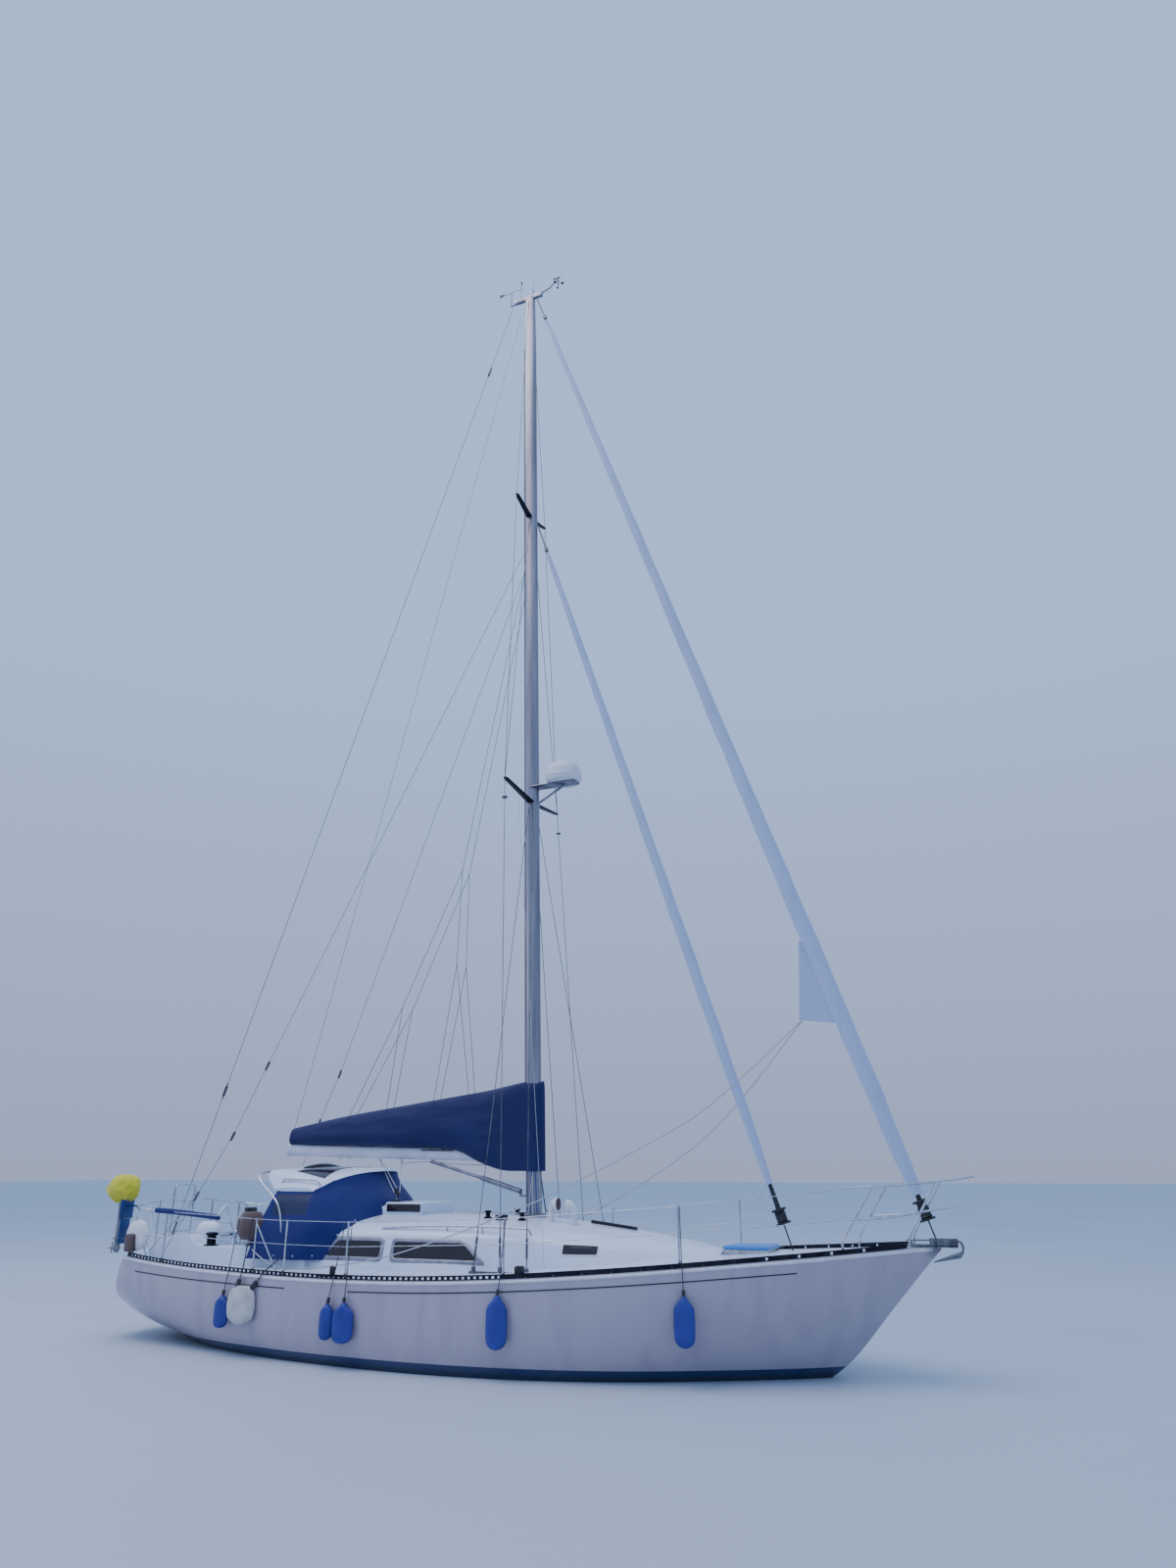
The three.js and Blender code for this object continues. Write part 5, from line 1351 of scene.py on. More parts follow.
# %% Furled headsails
# head and foot of the stay, heights of the drum and the swivel, and the spiral's pitch
STAYS = {"genoa": ((0.175, 16.3), (5.185, 1.285), (1.545, 1.745), (15.74, 15.83), 1.35),
         "staysail": ((0.3, 11.56), (3.625, 1.2), (1.48, 1.64), (11.06, 11.14), 1.1)}
ROLLS = {  # height and radius
    "genoa": [(1.8, 0.066), (2.3, 0.085), (3.4, 0.099), (5.2, 0.099), (8.0, 0.082), (11.5, 0.062),
              (14.5, 0.042), (15.7, 0.024)],
    "staysail": [(1.9, 0.04), (2.6, 0.06), (4.2, 0.07), (6.5, 0.062), (9.0, 0.052), (10.7, 0.038),
                 (11.03, 0.024)],
}
CLEW = [(3.87, 3.72), (4.30, 3.66), (4.08, 4.66), (3.93, 4.66)]  # the genoa's loose corner, x and z
ROLL_SIDES = 40


def stay_frame(name):
    (head_x, head_z), (foot_x, foot_z) = STAYS[name][:2]
    lean = Vector((head_x - foot_x, 0, head_z - foot_z)).normalized()
    return lean, Vector((0, 1, 0)).cross(lean)


def on_stay(name, z):
    (head_x, head_z), (foot_x, foot_z) = STAYS[name][:2]
    return Vector((mix(foot_x, head_x, (z - foot_z) / (head_z - foot_z)), 0, z))


def stay_ring(name, z, reach, sides):
    _, across = stay_frame(name)
    return [on_stay(name, z) + reach(a) * (cos(a) * across + sin(a) * Vector((0, 1, 0)))
            for a in all_round(sides)]


def stepped(name, rows, sides=24):
    """A round piece on a stay from rows of (height, radius)."""
    return loft([stay_ring(name, z, lambda _, r=r: r, sides) for z, r in rows])


def roll_ring(name, z):
    pitch = STAYS[name][4]

    def reach(a):
        turn = (a / tau - z / pitch) % 1
        edge = 0.07 * turn * smoothstep(turn, 1.0, 0.93)
        slack = 0.02 * sin(5 * a + z * 7) + 0.05 * noise.noise((cos(a), sin(a), z * 1.6))
        return along(ROLLS[name], z, 1) * (0.94 + edge + slack)

    return stay_ring(name, z, reach, ROLL_SIDES)


for name in STAYS:
    levels = ticks(ROLLS[name][0][0], ROLLS[name][-1][0], 300)
    roll = loft([roll_ring(name, z) for z in levels])
    if name == "genoa":
        clew, tack, root, leech = (Vector((x, 0, z)) for x, z in CLEW)
        rows = [[clew.lerp(leech, t).lerp(tack.lerp(root, t), s) + Vector((0, 0.02 * sin(3 * s) * (1 - t), 0))
                 for s in ticks(0, 1, 8)] for t in ticks(0, 1, 16)]
        roll = joined(roll, walled(fitted(rows), 0.008))
    dressed(smooth(roll, 50), white_canvas, f"furled_{name}")

    head, foot, (low, high), swivel, _ = STAYS[name]
    roll_foot, roll_head = ROLLS[name][0][0], ROLLS[name][-1][0]
    stay_wire = tube([on_stay(name, foot[1]), on_stay(name, low)], 0.008, 8)
    cage = stepped(name, [(low, 0.03), (low, 0.086), (low + 0.02, 0.088), (low + 0.024, 0.055),
                          (high - 0.024, 0.052), (high - 0.02, 0.086), (high, 0.084), (high + 0.004, 0.03),
                          (roll_foot + 0.05, 0.022)])
    line = stepped(name, [(low + 0.026 + 0.012 * i, 0.066 if i % 2 else 0.058) for i in range(10)])
    dressed(smooth(joined(stay_wire, cage, line)), black_plastic, f"{name}_furler")
    top = stepped(name, [(roll_head - 0.1, 0.014), (swivel[0], 0.014), (swivel[0] + 0.01, 0.03),
                         (swivel[1] - 0.01, 0.03), (swivel[1], 0.014), (head[1], 0.012)])
    dressed(smooth(top), galvanised, f"{name}_head_stay")
print("furled sails")

# %% [markdown]
# Rails are bent stainless tube, 25 mm thick: the pulpit at the bow and the pushpit round the stern. Each has
# a top rail and a thinner middle rail, on legs that stand on the deck.

# %% Pulpit and pushpit
RAIL, THIN_RAIL = 0.0125, 0.011

pulpit_top = mirrored([(4.35, -0.6, 1.868), (4.7, -0.5, 1.89), (5.25, -0.29, 1.936), (5.56, -0.13, 1.978),
                       (5.598, 0, 1.986)])
pulpit_mid = mirrored([(4.41, -0.57, 1.56), (4.8, -0.45, 1.59), (5.08, -0.25, 1.64), (5.3, -0.12, 1.675),
                       (5.385, 0, 1.688)])
runs = thick(RAIL, pulpit_top) + thick(THIN_RAIL, pulpit_mid)
for side in (1, -1):
    runs += thick(RAIL, [(4.262, side * 0.535, 1.18), (4.268, side * 0.545, 1.3), (4.3, side * 0.56, 1.39),
                         (4.62, side * 0.53, 1.882)],
                  [(4.9, side * 0.2, 1.24), (4.912, side * 0.205, 1.36), (4.945, side * 0.212, 1.45),
                   (5.24, side * 0.292, 1.934)])
dressed(pipework(runs), stainless, "pulpit")

pushpit_top = mirrored([(-4.3, -1.165, 1.545), (-4.8, -1.095, 1.575), (-5.0, -0.985, 1.597),
                        (-5.068, -0.76, 1.625), (-5.076, -0.3, 1.675), (-5.074, 0, 1.685)])
pushpit_mid = [(x, y, z - 0.3 + 0.04 * (z - 1.6)) for x, y, z in pushpit_top]
runs = thick(RAIL, pushpit_top) + thick(THIN_RAIL, pushpit_mid)
for side in (1, -1):
    runs += thick(RAIL, *(((x + 0.01, side * y, deck_top(x, y) - 0.03), (x, side * y, top))
                          for x, y, top in ((-4.3, 1.165, 1.545), (-4.975, 0.99, 1.597),
                                            (-5.07, 0.52, 1.65))))
    runs += thick(THIN_RAIL, ((-4.66, side * 1.07, deck_top(-4.66, 1.07) + 0.01),
                              (-4.99, side * 0.995, 1.58)))
dressed(pipework(runs), stainless, "pushpit")
print("pulpit and pushpit")

# %% [markdown]
# Stanchions are posts in sockets, and one near the cockpit has a slanting brace. Two lifelines of thin wire
# run through them on each side. On the coachroof a handrail follows each edge on four feet.

# %% Lifelines and handrails
STANCHIONS = [-2.59, -2.09, -1.16, 0.84, 2.7]
LIFELINES = (0.33, 0.59)


def post_foot(x, side):
    y = deck_edge(x)[0] - 0.062
    return (x, side * y, deck_top(x, y))


def post_point(x, side, rise):
    x, y, z = post_foot(x, side)
    return (x, y + side * rise * 0.02, z + rise)


for side, word in SIDES:
    posts = [(post_point(x, side, -0.02), post_point(x, side, LIFELINES[1] + 0.012)) for x in STANCHIONS]
    sockets = [(post_point(x, side, 0), post_point(x, side, 0.07)) for x in STANCHIONS]
    brace = ((STANCHIONS[0] + 0.36, side * 1.46, deck_top(-2.23, 1.46)),
             post_point(STANCHIONS[0], side, 0.54))
    runs = thick(0.0115, *posts) + thick(0.018, *sockets) + thick(0.009, brace)
    ends = [((-4.29, side * 1.168, 1.275), (4.42, side * 0.56, 1.56)),
            ((-4.29, side * 1.168, 1.545), (4.37, side * 0.6, 1.865))]
    for rise, (aft, fore) in zip(LIFELINES, ends):
        stops = [aft, *(post_point(x, side, rise) for x in STANCHIONS), fore]
        runs += thick(0.004, *zip(stops, stops[1:]))
    dressed(pipework(runs, 8), stainless, f"lifelines_{word}")

HANDRAIL = [(-1.16, 1.396), (-0.73, 1.42), (-0.27, 1.433), (0.2, 1.432), (0.53, 1.427), (0.8, 1.419)]  # x, z
HANDRAIL_Y, HANDRAIL_FOOT = 0.9, 1.35
for side, word in SIDES:
    y = side * HANDRAIL_Y
    ends = [(HANDRAIL[0][0] - 0.03, y, HANDRAIL_FOOT), *((x, y, z) for x, z in HANDRAIL),
            (HANDRAIL[-1][0] + 0.03, y, HANDRAIL_FOOT)]
    feet = [((x, y, HANDRAIL_FOOT), (x, y, z)) for x, z in HANDRAIL[2:4]]
    runs = thick(0.0125, eased(ends, 0.05, closed=False)) + thick(0.011, *feet)
    dressed(pipework(runs), stainless, f"handrail_{word}")
print("rails")

# %% [markdown]
# The bow carries a stainless fitting with a roller, and the anchor lies in it with its shank aft. The anchor
# is galvanised: its plate is curved like a scoop and it has been bent from thick sheet.

# %% Bow gear
ROLLER = (0, -0.078, 0)  # the roller and the anchor lie to starboard of the middle
cheeks = [box((5.1, y - 0.005, 1.29), (5.38, y + 0.005, 1.375), 0.004, at=ROLLER)
          for y in (-0.045, 0.045)]
tray = box((4.9, -0.05, 1.3), (5.37, 0.05, 1.312), 0.003, at=ROLLER)
stem_plate = box((4.86, -0.06, 1.296), (5.22, 0.06, 1.312), 0.004)
dressed(joined(tray, stem_plate, *cheeks), wire_strand, "bow_roller")
waist = ((-0.038, 0.03), (-0.01, 0.02), (0.01, 0.02), (0.038, 0.03))  # y and radius
roller_wheel = loft([oval((5.33, ROLLER[1] + y, 1.335), (r, r), 16, STAND) for y, r in waist])
dressed(smooth(roller_wheel), black_rubber, name="roller_wheel")
shank = [(4.86, 1.346), (5.34, 1.351), (5.402, 1.335), (5.42, 1.29), (5.402, 1.222), (5.424, 1.222),
         (5.442, 1.3), (5.42, 1.352), (5.35, 1.368), (4.86, 1.36)]
shank_piece = softened(prism(shank, ROLLER[1] - 0.009, ROLLER[1] + 0.009), 0.003)
scoop = []
for t in ticks(0, 1, 12):
    half, lift = 0.15 * (1 - t) ** 0.6 + 0.006, 0.05 * (1 - t)
    scoop.append([(mix(5.4, 5.12, t), ROLLER[1] + half * u, mix(1.2, 1.15, t) + lift * u * u)
                  for u in ticks(-1, 1, 10)])
scoop_piece = walled(fitted(scoop), 0.01)
dressed(smooth(joined(shank_piece, scoop_piece)), galvanised, "anchor")
print("bow gear")

# %% [markdown]
# Below the water hang a fin keel with a rounded nose and a fine tail, and a rudder of the same section on
# its stock. Each is a loft of foil sections, whose thickness follows the usual formula for such foils.

# %% Keel and rudder
FOIL_STEPS = 20
# z, front, back, half
KEEL = [(-0.3, 1.15, -1.05, 0.105), (-0.64, 0.95, -0.9, 0.092), (-1.35, 0.62, -0.83, 0.078),
        (-1.52, 0.56, -0.82, 0.088), (-1.6, 0.5, -0.79, 0.07), (-1.618, 0.44, -0.74, 0.03)]
BLADE = [(-0.095, -3.88, -4.42, 0.042), (-0.7, -3.86, -4.39, 0.038), (-1.33, -3.85, -4.3, 0.026),
         (-1.385, -3.87, -4.27, 0.018), (-1.4, -3.9, -4.24, 0.006)]


def foil_ring(table, z):
    front, back, half = (along(table[::-1], z, column) for column in (1, 2, 3))
    side = []
    for a in ticks(0, pi, FOIL_STEPS):
        t = (1 - cos(a)) / 2
        depth = 2.6 * (0.2969 * sqrt(t) - 0.126 * t - 0.3516 * t ** 2 + 0.2843 * t ** 3 - 0.1015 * t ** 4)
        side.append((mix(front, back, t), max(depth, 0.02) * half / 0.26))
    return [(x, y, z) for x, y in side] + [(x, -y, z) for x, y in reversed(side[1:-1])]


def foil(table):
    levels = sorted({*ticks(table[0][0], table[-2][0], 16), *(row[0] for row in table)})
    return loft([foil_ring(table, z) for z in levels])


dressed(smooth(foil(KEEL)), antifouling, "keel")
stock = tube([(-4.02, 0, -0.13), (-4.02, 0, 0.28)], 0.03, 24)
dressed(smooth(joined(foil(BLADE), stock)), antifouling, "rudder")
print("keel and rudder")

# %% [markdown]
# The bronze propeller sits on a shaft that leaves the hull in a strut. A blade's sections lie on cylinders
# round the shaft, steep at the root and flatter at the tip, so a point is placed by its distance from the
# shaft and its angle round it.

# %% Propeller
SHAFT = ((-2.3, -0.3), (-3.42, -0.545))  # x and z of the shaft's line, inboard and at the propeller
BLADES = 3
BLADE_SECTION = ((-1, 0), (-0.5, 0.8), (0, 1), (0.5, 0.8), (1, 0), (0.5, -0.8), (0, -1), (-0.5, -0.8))
SHAFT_TILT = atan2(SHAFT[0][1] - SHAFT[1][1], SHAFT[0][0] - SHAFT[1][0])


def on_shaft(x, reach=0.0, angle=0.0):
    """A point at a distance from the shaft's line, turned round it."""
    z = mix(SHAFT[0][1], SHAFT[1][1], (x - SHAFT[0][0]) / (SHAFT[1][0] - SHAFT[0][0]))
    up = reach * cos(angle)
    return (x - up * sin(SHAFT_TILT), reach * sin(angle), z + up * cos(SHAFT_TILT))


def shaft_rings(rows):
    """Rings round the shaft from rows of (x, radius)."""
    return [[on_shaft(x, r, a) for a in all_round(24)] for x, r in rows]


def propeller_blade(turn):
    rings = []
    for t in ticks(0, 1, 14):
        reach = mix(0.028, 0.204, t)
        chord = 0.062 * sin(pi * (0.2 + 0.8 * t) ** 0.8) ** 0.6 + 0.008
        pitch = radians(mix(64, 28, t))
        thick_half = mix(0.008, 0.002, t)
        ring = []
        for u, w in BLADE_SECTION:
            along_shaft = u * chord * sin(pitch) + w * thick_half * cos(pitch)
            round_it = (u * chord * cos(pitch) - w * thick_half * sin(pitch)) / reach
            ring.append(on_shaft(SHAFT[1][0] + along_shaft, reach, turn + round_it))
        rings.append(ring)
    return loft(rings)


shaft = tube([on_shaft(-2.65), on_shaft(-3.46)], 0.0145, 16)
boss = loft(shaft_rings(((-3.35, 0.026), (-3.36, 0.033), (-3.44, 0.033), (-3.47, 0.026), (-3.485, 0.012))))
blades = [propeller_blade(turn) for turn in all_round(BLADES)]
dressed(smooth(joined(shaft, boss, *blades)), bronze, "propeller")
barrel = fitted(shaft_rings(((-3.19, 0.017), (-3.19, 0.036), (-3.33, 0.038), (-3.33, 0.017))), ring=True)
strut_leg = loft([oval((x, 0, z), (0.045, 0.011), 16) for x, z in ((-3.255, -0.478), (-3.19, -0.05))])
dressed(smooth(joined(barrel, strut_leg)), bronze, "shaft_strut")
print("underwater parts")

# %% [markdown]
# In the cockpit the steering wheel stands on a moulded pedestal with a compass under a dome, and a bent guard
# gives a handhold over it.

# %% Pedestal and wheel
WHEEL = (-4.18, 0, 1.25)  # its centre
WHEEL_RADIUS = 0.4
COLUMN = [(0.44, 0.13, 0.12), (0.5, 0.1, 0.09), (0.8, 0.075, 0.07), (1.15, 0.07, 0.065), (1.24, 0.09, 0.085),
          (1.29, 0.095, 0.09)]  # height and half sizes
column = loft([oval((-4.0, 0, z), half, 32) for z, *half in COLUMN])
shaft_box = tube([(WHEEL[0] + 0.0206, 0, WHEEL[2]), (-4.0, 0, WHEEL[2])], 0.03, 20)
binnacle = turned([(0, 0), (0.09, 0), (0.094, 0.05), (0.08, 0.09), (0.055, 0.12), (0.02, 0.138),
                   (0, 0.14)], (-4.0, 0, 1.285))
dressed(smooth(joined(column, shaft_box, binnacle)), moulded_gelcoat, "pedestal")
guard = mirrored([(-3.93, -0.14, 0.5), (-3.93, -0.14, 1.3), (-3.92, -0.12, 1.44), (-3.92, 0, 1.475)])
dressed(pipework(thick(RAIL, guard)), stainless, name="pedestal_guard")


def wheel_circle(count):
    return oval(WHEEL, (WHEEL_RADIUS, WHEEL_RADIUS), count, FACE_AFT)


spokes = [tube([WHEEL, reach], 0.007, 8) for reach in wheel_circle(6)]
boss = tube([(WHEEL[0] - 0.03, 0, WHEEL[2]), (WHEEL[0] + 0.02, 0, WHEEL[2])], 0.045, 24)
wheel = joined(tube(wheel_circle(64), 0.013, 12, closed=True), *spokes, boss)
dressed(smooth(wheel, 40), stainless, "steering_wheel")
print("pedestal and wheel")

# %% [markdown]
# The sheet winches are waisted drums with ribs, on a broad base, and each has a socket for its handle. The
# drum is a profile spun round its axis and the ribs are thin boxes round its waist.

# %% Winches
WINCHES = (("primary", -3.02, 1.0), ("secondary", -3.71, 0.9))  # x and size
WINCH_PROFILE = [(0, 0), (0.105, 0), (0.107, 0.006), (0.104, 0.018), (0.066, 0.028), (0.056, 0.05),
                 (0.053, 0.09), (0.056, 0.13), (0.066, 0.142), (0.086, 0.147), (0.088, 0.155), (0.084, 0.176),
                 (0.07, 0.184), (0.02, 0.186), (0.018, 0.17), (0, 0.17)]


def winch_place(x, side):
    return (x, side * (mix(SEAT_HALF[0], along(COAMING, x, 2), 0.5) + 0.04), along(COAMING, x, 1) - 0.006)


for rank, x, size in WINCHES:
    for side, word in SIDES:
        place = winch_place(x, side)
        winch = turned([(r * size, h * size) for r, h in WINCH_PROFILE], place, 32)
        ribs = [box((-0.003, -0.003, 0.04 * size), (0.003, 0.003, 0.138 * size), at=foot)
                for foot in oval(place, (0.057 * size, 0.057 * size), 16)]
        dressed(joined(winch, *ribs), dark_anodised, f"{rank}_winch_{word}")
print("winches")

# %% [markdown]
# At the stern a boarding ladder is folded up outside the rail. Its frame is one bent tube, with three rungs
# and a hinge pin in brackets on the transom.

# %% Boarding ladder
LADDER = (-5.37, 0.252, 0)  # its middle
ladder_frame = mirrored([(0, -0.2, 1.12), (0, -0.2, 1.77), (0, -0.185, 1.83), (0, -0.135, 1.857),
                         (0, 0, 1.86)])
rungs = [((0, -0.2, z), (0, 0.2, z)) for z in (1.23, 1.43, 1.63)]
runs = thick(0.0125, ladder_frame, *rungs) + thick(0.008, ((0, -0.222, 1.13), (0, 0.222, 1.13)))
dressed(pipework(runs, at=LADDER), stainless, "boarding_ladder")
ears = [box((-0.018, y - 0.005, 1.11), (0.21, y + 0.005, 1.15), 0.003, at=LADDER) for y in (-0.232, 0.232)]
feet = [box((0.06, y - 0.02, 0.97), (0.12, y + 0.02, 1.13), 0.003, at=LADDER) for y in (-0.232, 0.232)]
dressed(joined(*ears, *feet), stainless, "ladder_bracket")
print("ladder")

# %% [markdown]
# An outboard motor for the dinghy hangs on its pad under a yellow cover. The cover is a bag of coated cloth,
# drawn in round the motor's neck by a cord, with folds that run down to the cord.

# %% Outboard motor
MOTOR = (-5.33, -0.93, 0)
LEG = [(0, 1.02, 0.04, 0.02), (0, 1.09, 0.05, 0.022), (0, 1.18, 0.055, 0.024), (0, 1.188, 0.105, 0.055),
       (0, 1.196, 0.105, 0.055), (0, 1.204, 0.05, 0.03), (0, 1.45, 0.045, 0.035), (0, 1.62, 0.055, 0.045),
       (0.01, 1.66, 0.075, 0.06)]  # x, height and half sizes
GEARCASE = ((-0.085, 0.012), (-0.08, 0.026), (-0.02, 0.034), (0.04, 0.028), (0.065, 0.006))  # x and radius
leg = loft([oval((MOTOR[0] + x, MOTOR[1], z), half, 24) for x, z, *half in LEG])
gearcase = loft([oval((MOTOR[0] + x, MOTOR[1], 1.075), (r, r), 20, FACE_AFT) for x, r in GEARCASE])
clamp = box((0.03, -0.06, 1.5), (0.065, 0.06, 1.69), 0.008, at=MOTOR)
hook = box((0.03, -0.06, 1.682), (0.128, 0.06, 1.7), 0.006, at=MOTOR)
fins = [box((-0.09, -0.07, 1.07), (-0.075, 0.07, 1.08), 0.003, at=MOTOR),
        box((-0.09, -0.005, 1.005), (-0.075, 0.005, 1.145), 0.003, at=MOTOR)]
dressed(smooth(joined(leg, gearcase, clamp, hook, *fins)), engine_grey, "outboard_leg")
pad = box((0.0655, -0.11, 1.44), (0.1, 0.11, 1.68), 0.01, at=MOTOR)
pad_arm = tube([(MOTOR[0] + 0.09, MOTOR[1], 1.6), (-5.04, MOTOR[1], 1.6)], 0.012, 12)
dressed(smooth(joined(pad, pad_arm)), engine_blue, "motor_pad")
dressed(box((0.07, -0.08, 1.13), (0.095, 0.08, 1.437), 0.01, at=MOTOR), engine_blue, name="motor_guard")

# z and half sizes
BAG_FORM = [(1.64, 0.09, 0.07), (1.655, 0.105, 0.08), (1.69, 0.16, 0.12), (1.74, 0.2, 0.15),
            (1.82, 0.222, 0.165), (1.9, 0.205, 0.155), (1.96, 0.16, 0.12), (1.99, 0.09, 0.07),
            (2.0, 0.01, 0.01)]


def bag_ring(z):
    long, wide = (along(BAG_FORM, z, column) for column in (1, 2))
    ring = []
    for a in all_round(72):
        gather = 0.07 * sin(13 * a + 2 * sin(3 * a)) * smoothstep(z, 1.8, 1.66)
        crease = 0.16 * noise.noise((2.6 * cos(a), 2.6 * sin(a), z * 11))
        sag = 0.012 * noise.noise((3 * cos(a), 3 * sin(a), 5))
        grow = 1 + gather + crease
        ring.append((MOTOR[0] - 0.015 + 1.08 * long * grow * cos(a), MOTOR[1] + wide * grow * sin(a),
                     z + sag))
    return ring


bag = fitted([bag_ring(z) for z in ticks(1.64, 2.0, 48)], ring=True)
dressed(smooth(walled(bag, 0.002), 60), yellow_canvas, "outboard_cover")
cord_ring = oval((MOTOR[0] - 0.03, MOTOR[1], 1.665), (0.104, 0.08), 32)
dressed(smooth(tube(cord_ring, 0.005, 8, closed=True), 60), dark_rope, name="bag_cord")

# %% [markdown]
# The masthead carries a crane for the halyards, and on thin arms the wind vane and the wind-speed cups.

# %% Masthead gear
VANE = (-0.324, 0.018, 0)  # the vane's pin, beside the backstay
CUPS = (0.593, 0, 16.43)  # middle of the cups
arms = [box((-0.007, -0.007, 16.296), (0.124, 0.007, 16.312), 0.003, at=VANE),
        box((-0.006, -0.006, 16.3), (0.006, 0.006, 16.589), 0.003, at=VANE)]
cup_arm = [(0.25, 0, 16.36), (0.35, 0, 16.385), (0.43, 0, 16.413), (0.515, 0, 16.498), (0.605, 0, 16.505)]
runs = thick(0.009, cup_arm, ((CUPS[0], 0, 16.482), (CUPS[0], 0, 16.6)))
runs += [(((0.109, 0, 16.37), (0.109, 0, 16.5)), 0.008), (((0.109, 0, 16.5), (0.112, 0, 16.81)), 0.0025),
         (((-0.131, 0.02, 16.37), (-0.131, 0.02, 16.79)), 0.004),
         (((-0.131, 0.02, 16.74), (-0.131, 0.02, 16.79)), 0.013)]
dressed(joined(pipework(runs, 10), *arms), black_plastic, name="masthead_arms")
fin = prism([(CUPS[0] + x, z) for x, z in ((-0.09, 16.55), (0, 16.56), (0.05, 16.575), (0, 16.585),
                                           (-0.1, 16.6))], -0.003, 0.003)
dressed(fin, black_plastic, name="fin")

vane_runs = [(((0, 0, 16.5905), (0, 0, 16.63)), 0.005), (((-0.22, 0, 16.618), (0.2, 0, 16.618)), 0.004)]
tail = prism([(VANE[0] + x, z) for x, z in ((-0.236, 16.58), (-0.15, 16.6), (-0.15, 16.636),
                                            (-0.236, 16.656))], VANE[1] - 0.002, VANE[1] + 0.002)
vane = pipework(vane_runs, 8, at=VANE)
dressed(joined(vane, tail), black_plastic, "wind_vane")


def wind_cup(a):
    """One cup on its arm, which points outward at an angle."""
    outward, heading = Vector((cos(a), sin(a), 0)), Vector((-sin(a), cos(a), 0))
    up = Vector((0, 0, 1))
    reach = Vector(CUPS) + 0.075 * outward
    rows = [[reach + 0.024 * (heading * sin(b) + cos(b) * (cos(c) * outward + sin(c) * up))
             for c in all_round(16)] for b in ticks(-0.2, pi / 2 - 0.02, 6)]
    return [walled(fitted(rows, ring=True), 0.0015), tube([CUPS, reach], 0.004, 8)]


cup_pieces = [pipework(thick(0.007, ((CUPS[0], 0, CUPS[2] - 0.02), (CUPS[0], 0, 16.4795))), 12)]
for turn in all_round(3):
    cup_pieces += wind_cup(turn)
dressed(smooth(joined(*cup_pieces)), black_plastic, "wind_cups")
print("masthead")

# %% [markdown]
# Running rigging. Lines run from the mast to the boom, and the mainsheet runs from the boom to a block on
# the coachroof. The others are led to fixed points.

# %% Lines to the boom
LINE = 0.005


def rides_boom(name, finish, runs):
    """Lines from a fixed point to the boom, with their name and finish."""
    piece = pipework(runs, 6)
    piece.name = name
    piece.data.materials.append(finish.material)
    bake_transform(piece)
    return piece


TOPPING = ((-0.11, 0, 15.95), (-3.36, 0, 2.39))
rides_boom("topping_lift", wire_strand, thick(0.003, TOPPING))
JACKS = {"head": (0.1, 0.075, 10.6), "upper": (-0.74, 0.1, 6.03), "aft": (-1.58, 0.13, 4.15),
         "fore": (-0.746, 0.13, 4.7)}
JACK_FEET = (("aft", -2.53), ("aft", -1.81), ("fore", -1.11), ("fore", -0.43))  # x at the boom
for side, word in SIDES:
    knots = {key: (x, side * y, z) for key, (x, y, z) in JACKS.items()}
    spans = [(knots[a], knots[b]) for a, b in (("head", "upper"), ("upper", "aft"), ("upper", "fore"))]
    spans += [(knots[key], (x, side * 0.07, 2.42)) for key, x in JACK_FEET]
    rides_boom(f"lazy_jacks_{word}", dark_rope, thick(0.0035, *spans))
SHEET_FOOT = (-1.37, -0.3, 1.69)
falls = [((-1.83, 0, 2.11), (-1.414, -0.3, 1.775)), ((-1.8, 0, 2.12), (-1.385, -0.3, 1.835)),
         ((-1.522, 0, 2.13), (-1.337, -0.3, 1.78)), ((-1.4, -0.3, 1.79), SHEET_FOOT)]
rides_boom("mainsheet", white_rope, thick(LINE, *falls))
blocks = [box((-0.022, -0.012, -0.035), (0.022, 0.012, 0.035), 0.008, at=place)
          for place in ((-1.39, -0.3, 1.8), (-1.36, -0.3, 1.76))]
base = box((-0.05, -0.03, 0), (0.05, 0.03, 0.03), 0.006, at=(-1.37, -0.3, HOOD[3]))
dressed(joined(*blocks, base), black_plastic, name="mainsheet_blocks")

boom_body = NODE_BODY["boom"]
reefs = [[(x, -0.03, 2.24), (x + 0.05, -0.045, 2.19), (x + 0.1, -0.03, 2.24)] for x in (-2.52, -2.38)]
runs = thick(0.012, ((-1.87, 0, 2.2), (-1.82, 0, 2.1)), ((-1.53, 0, 2.2), (-1.52, 0, 2.12)))
runs += thick(0.006, [(-1.5, 0, 2.14), (-1.07, 0, 2.155), (-0.6, 0, 2.12), (0.15, 0, 2.11)])
dressed(pipework(runs + thick(LINE, *reefs), 8), white_rope, body=boom_body, name="boom_lines")
studs = [((x, -0.04, 2.3), (x, -0.062, 2.3)) for x in (-1.05, -0.88)]
runs = [(((-0.54, -0.04, 2.29), (-0.54, -0.075, 2.29)), 0.036),
        (((-1.2, -0.062, 2.3), (-0.72, -0.062, 2.29)), 0.007)]
dressed(pipework(runs + thick(0.012, *studs), 14), black_plastic, body=boom_body, name="boom_fittings")
print("lines to the boom")

# %% [markdown]
# A running backstay holds the mast back at the height of the inner stay. It is a wire that ends in tackle:
# blocks, and a doubled line down to the deck.

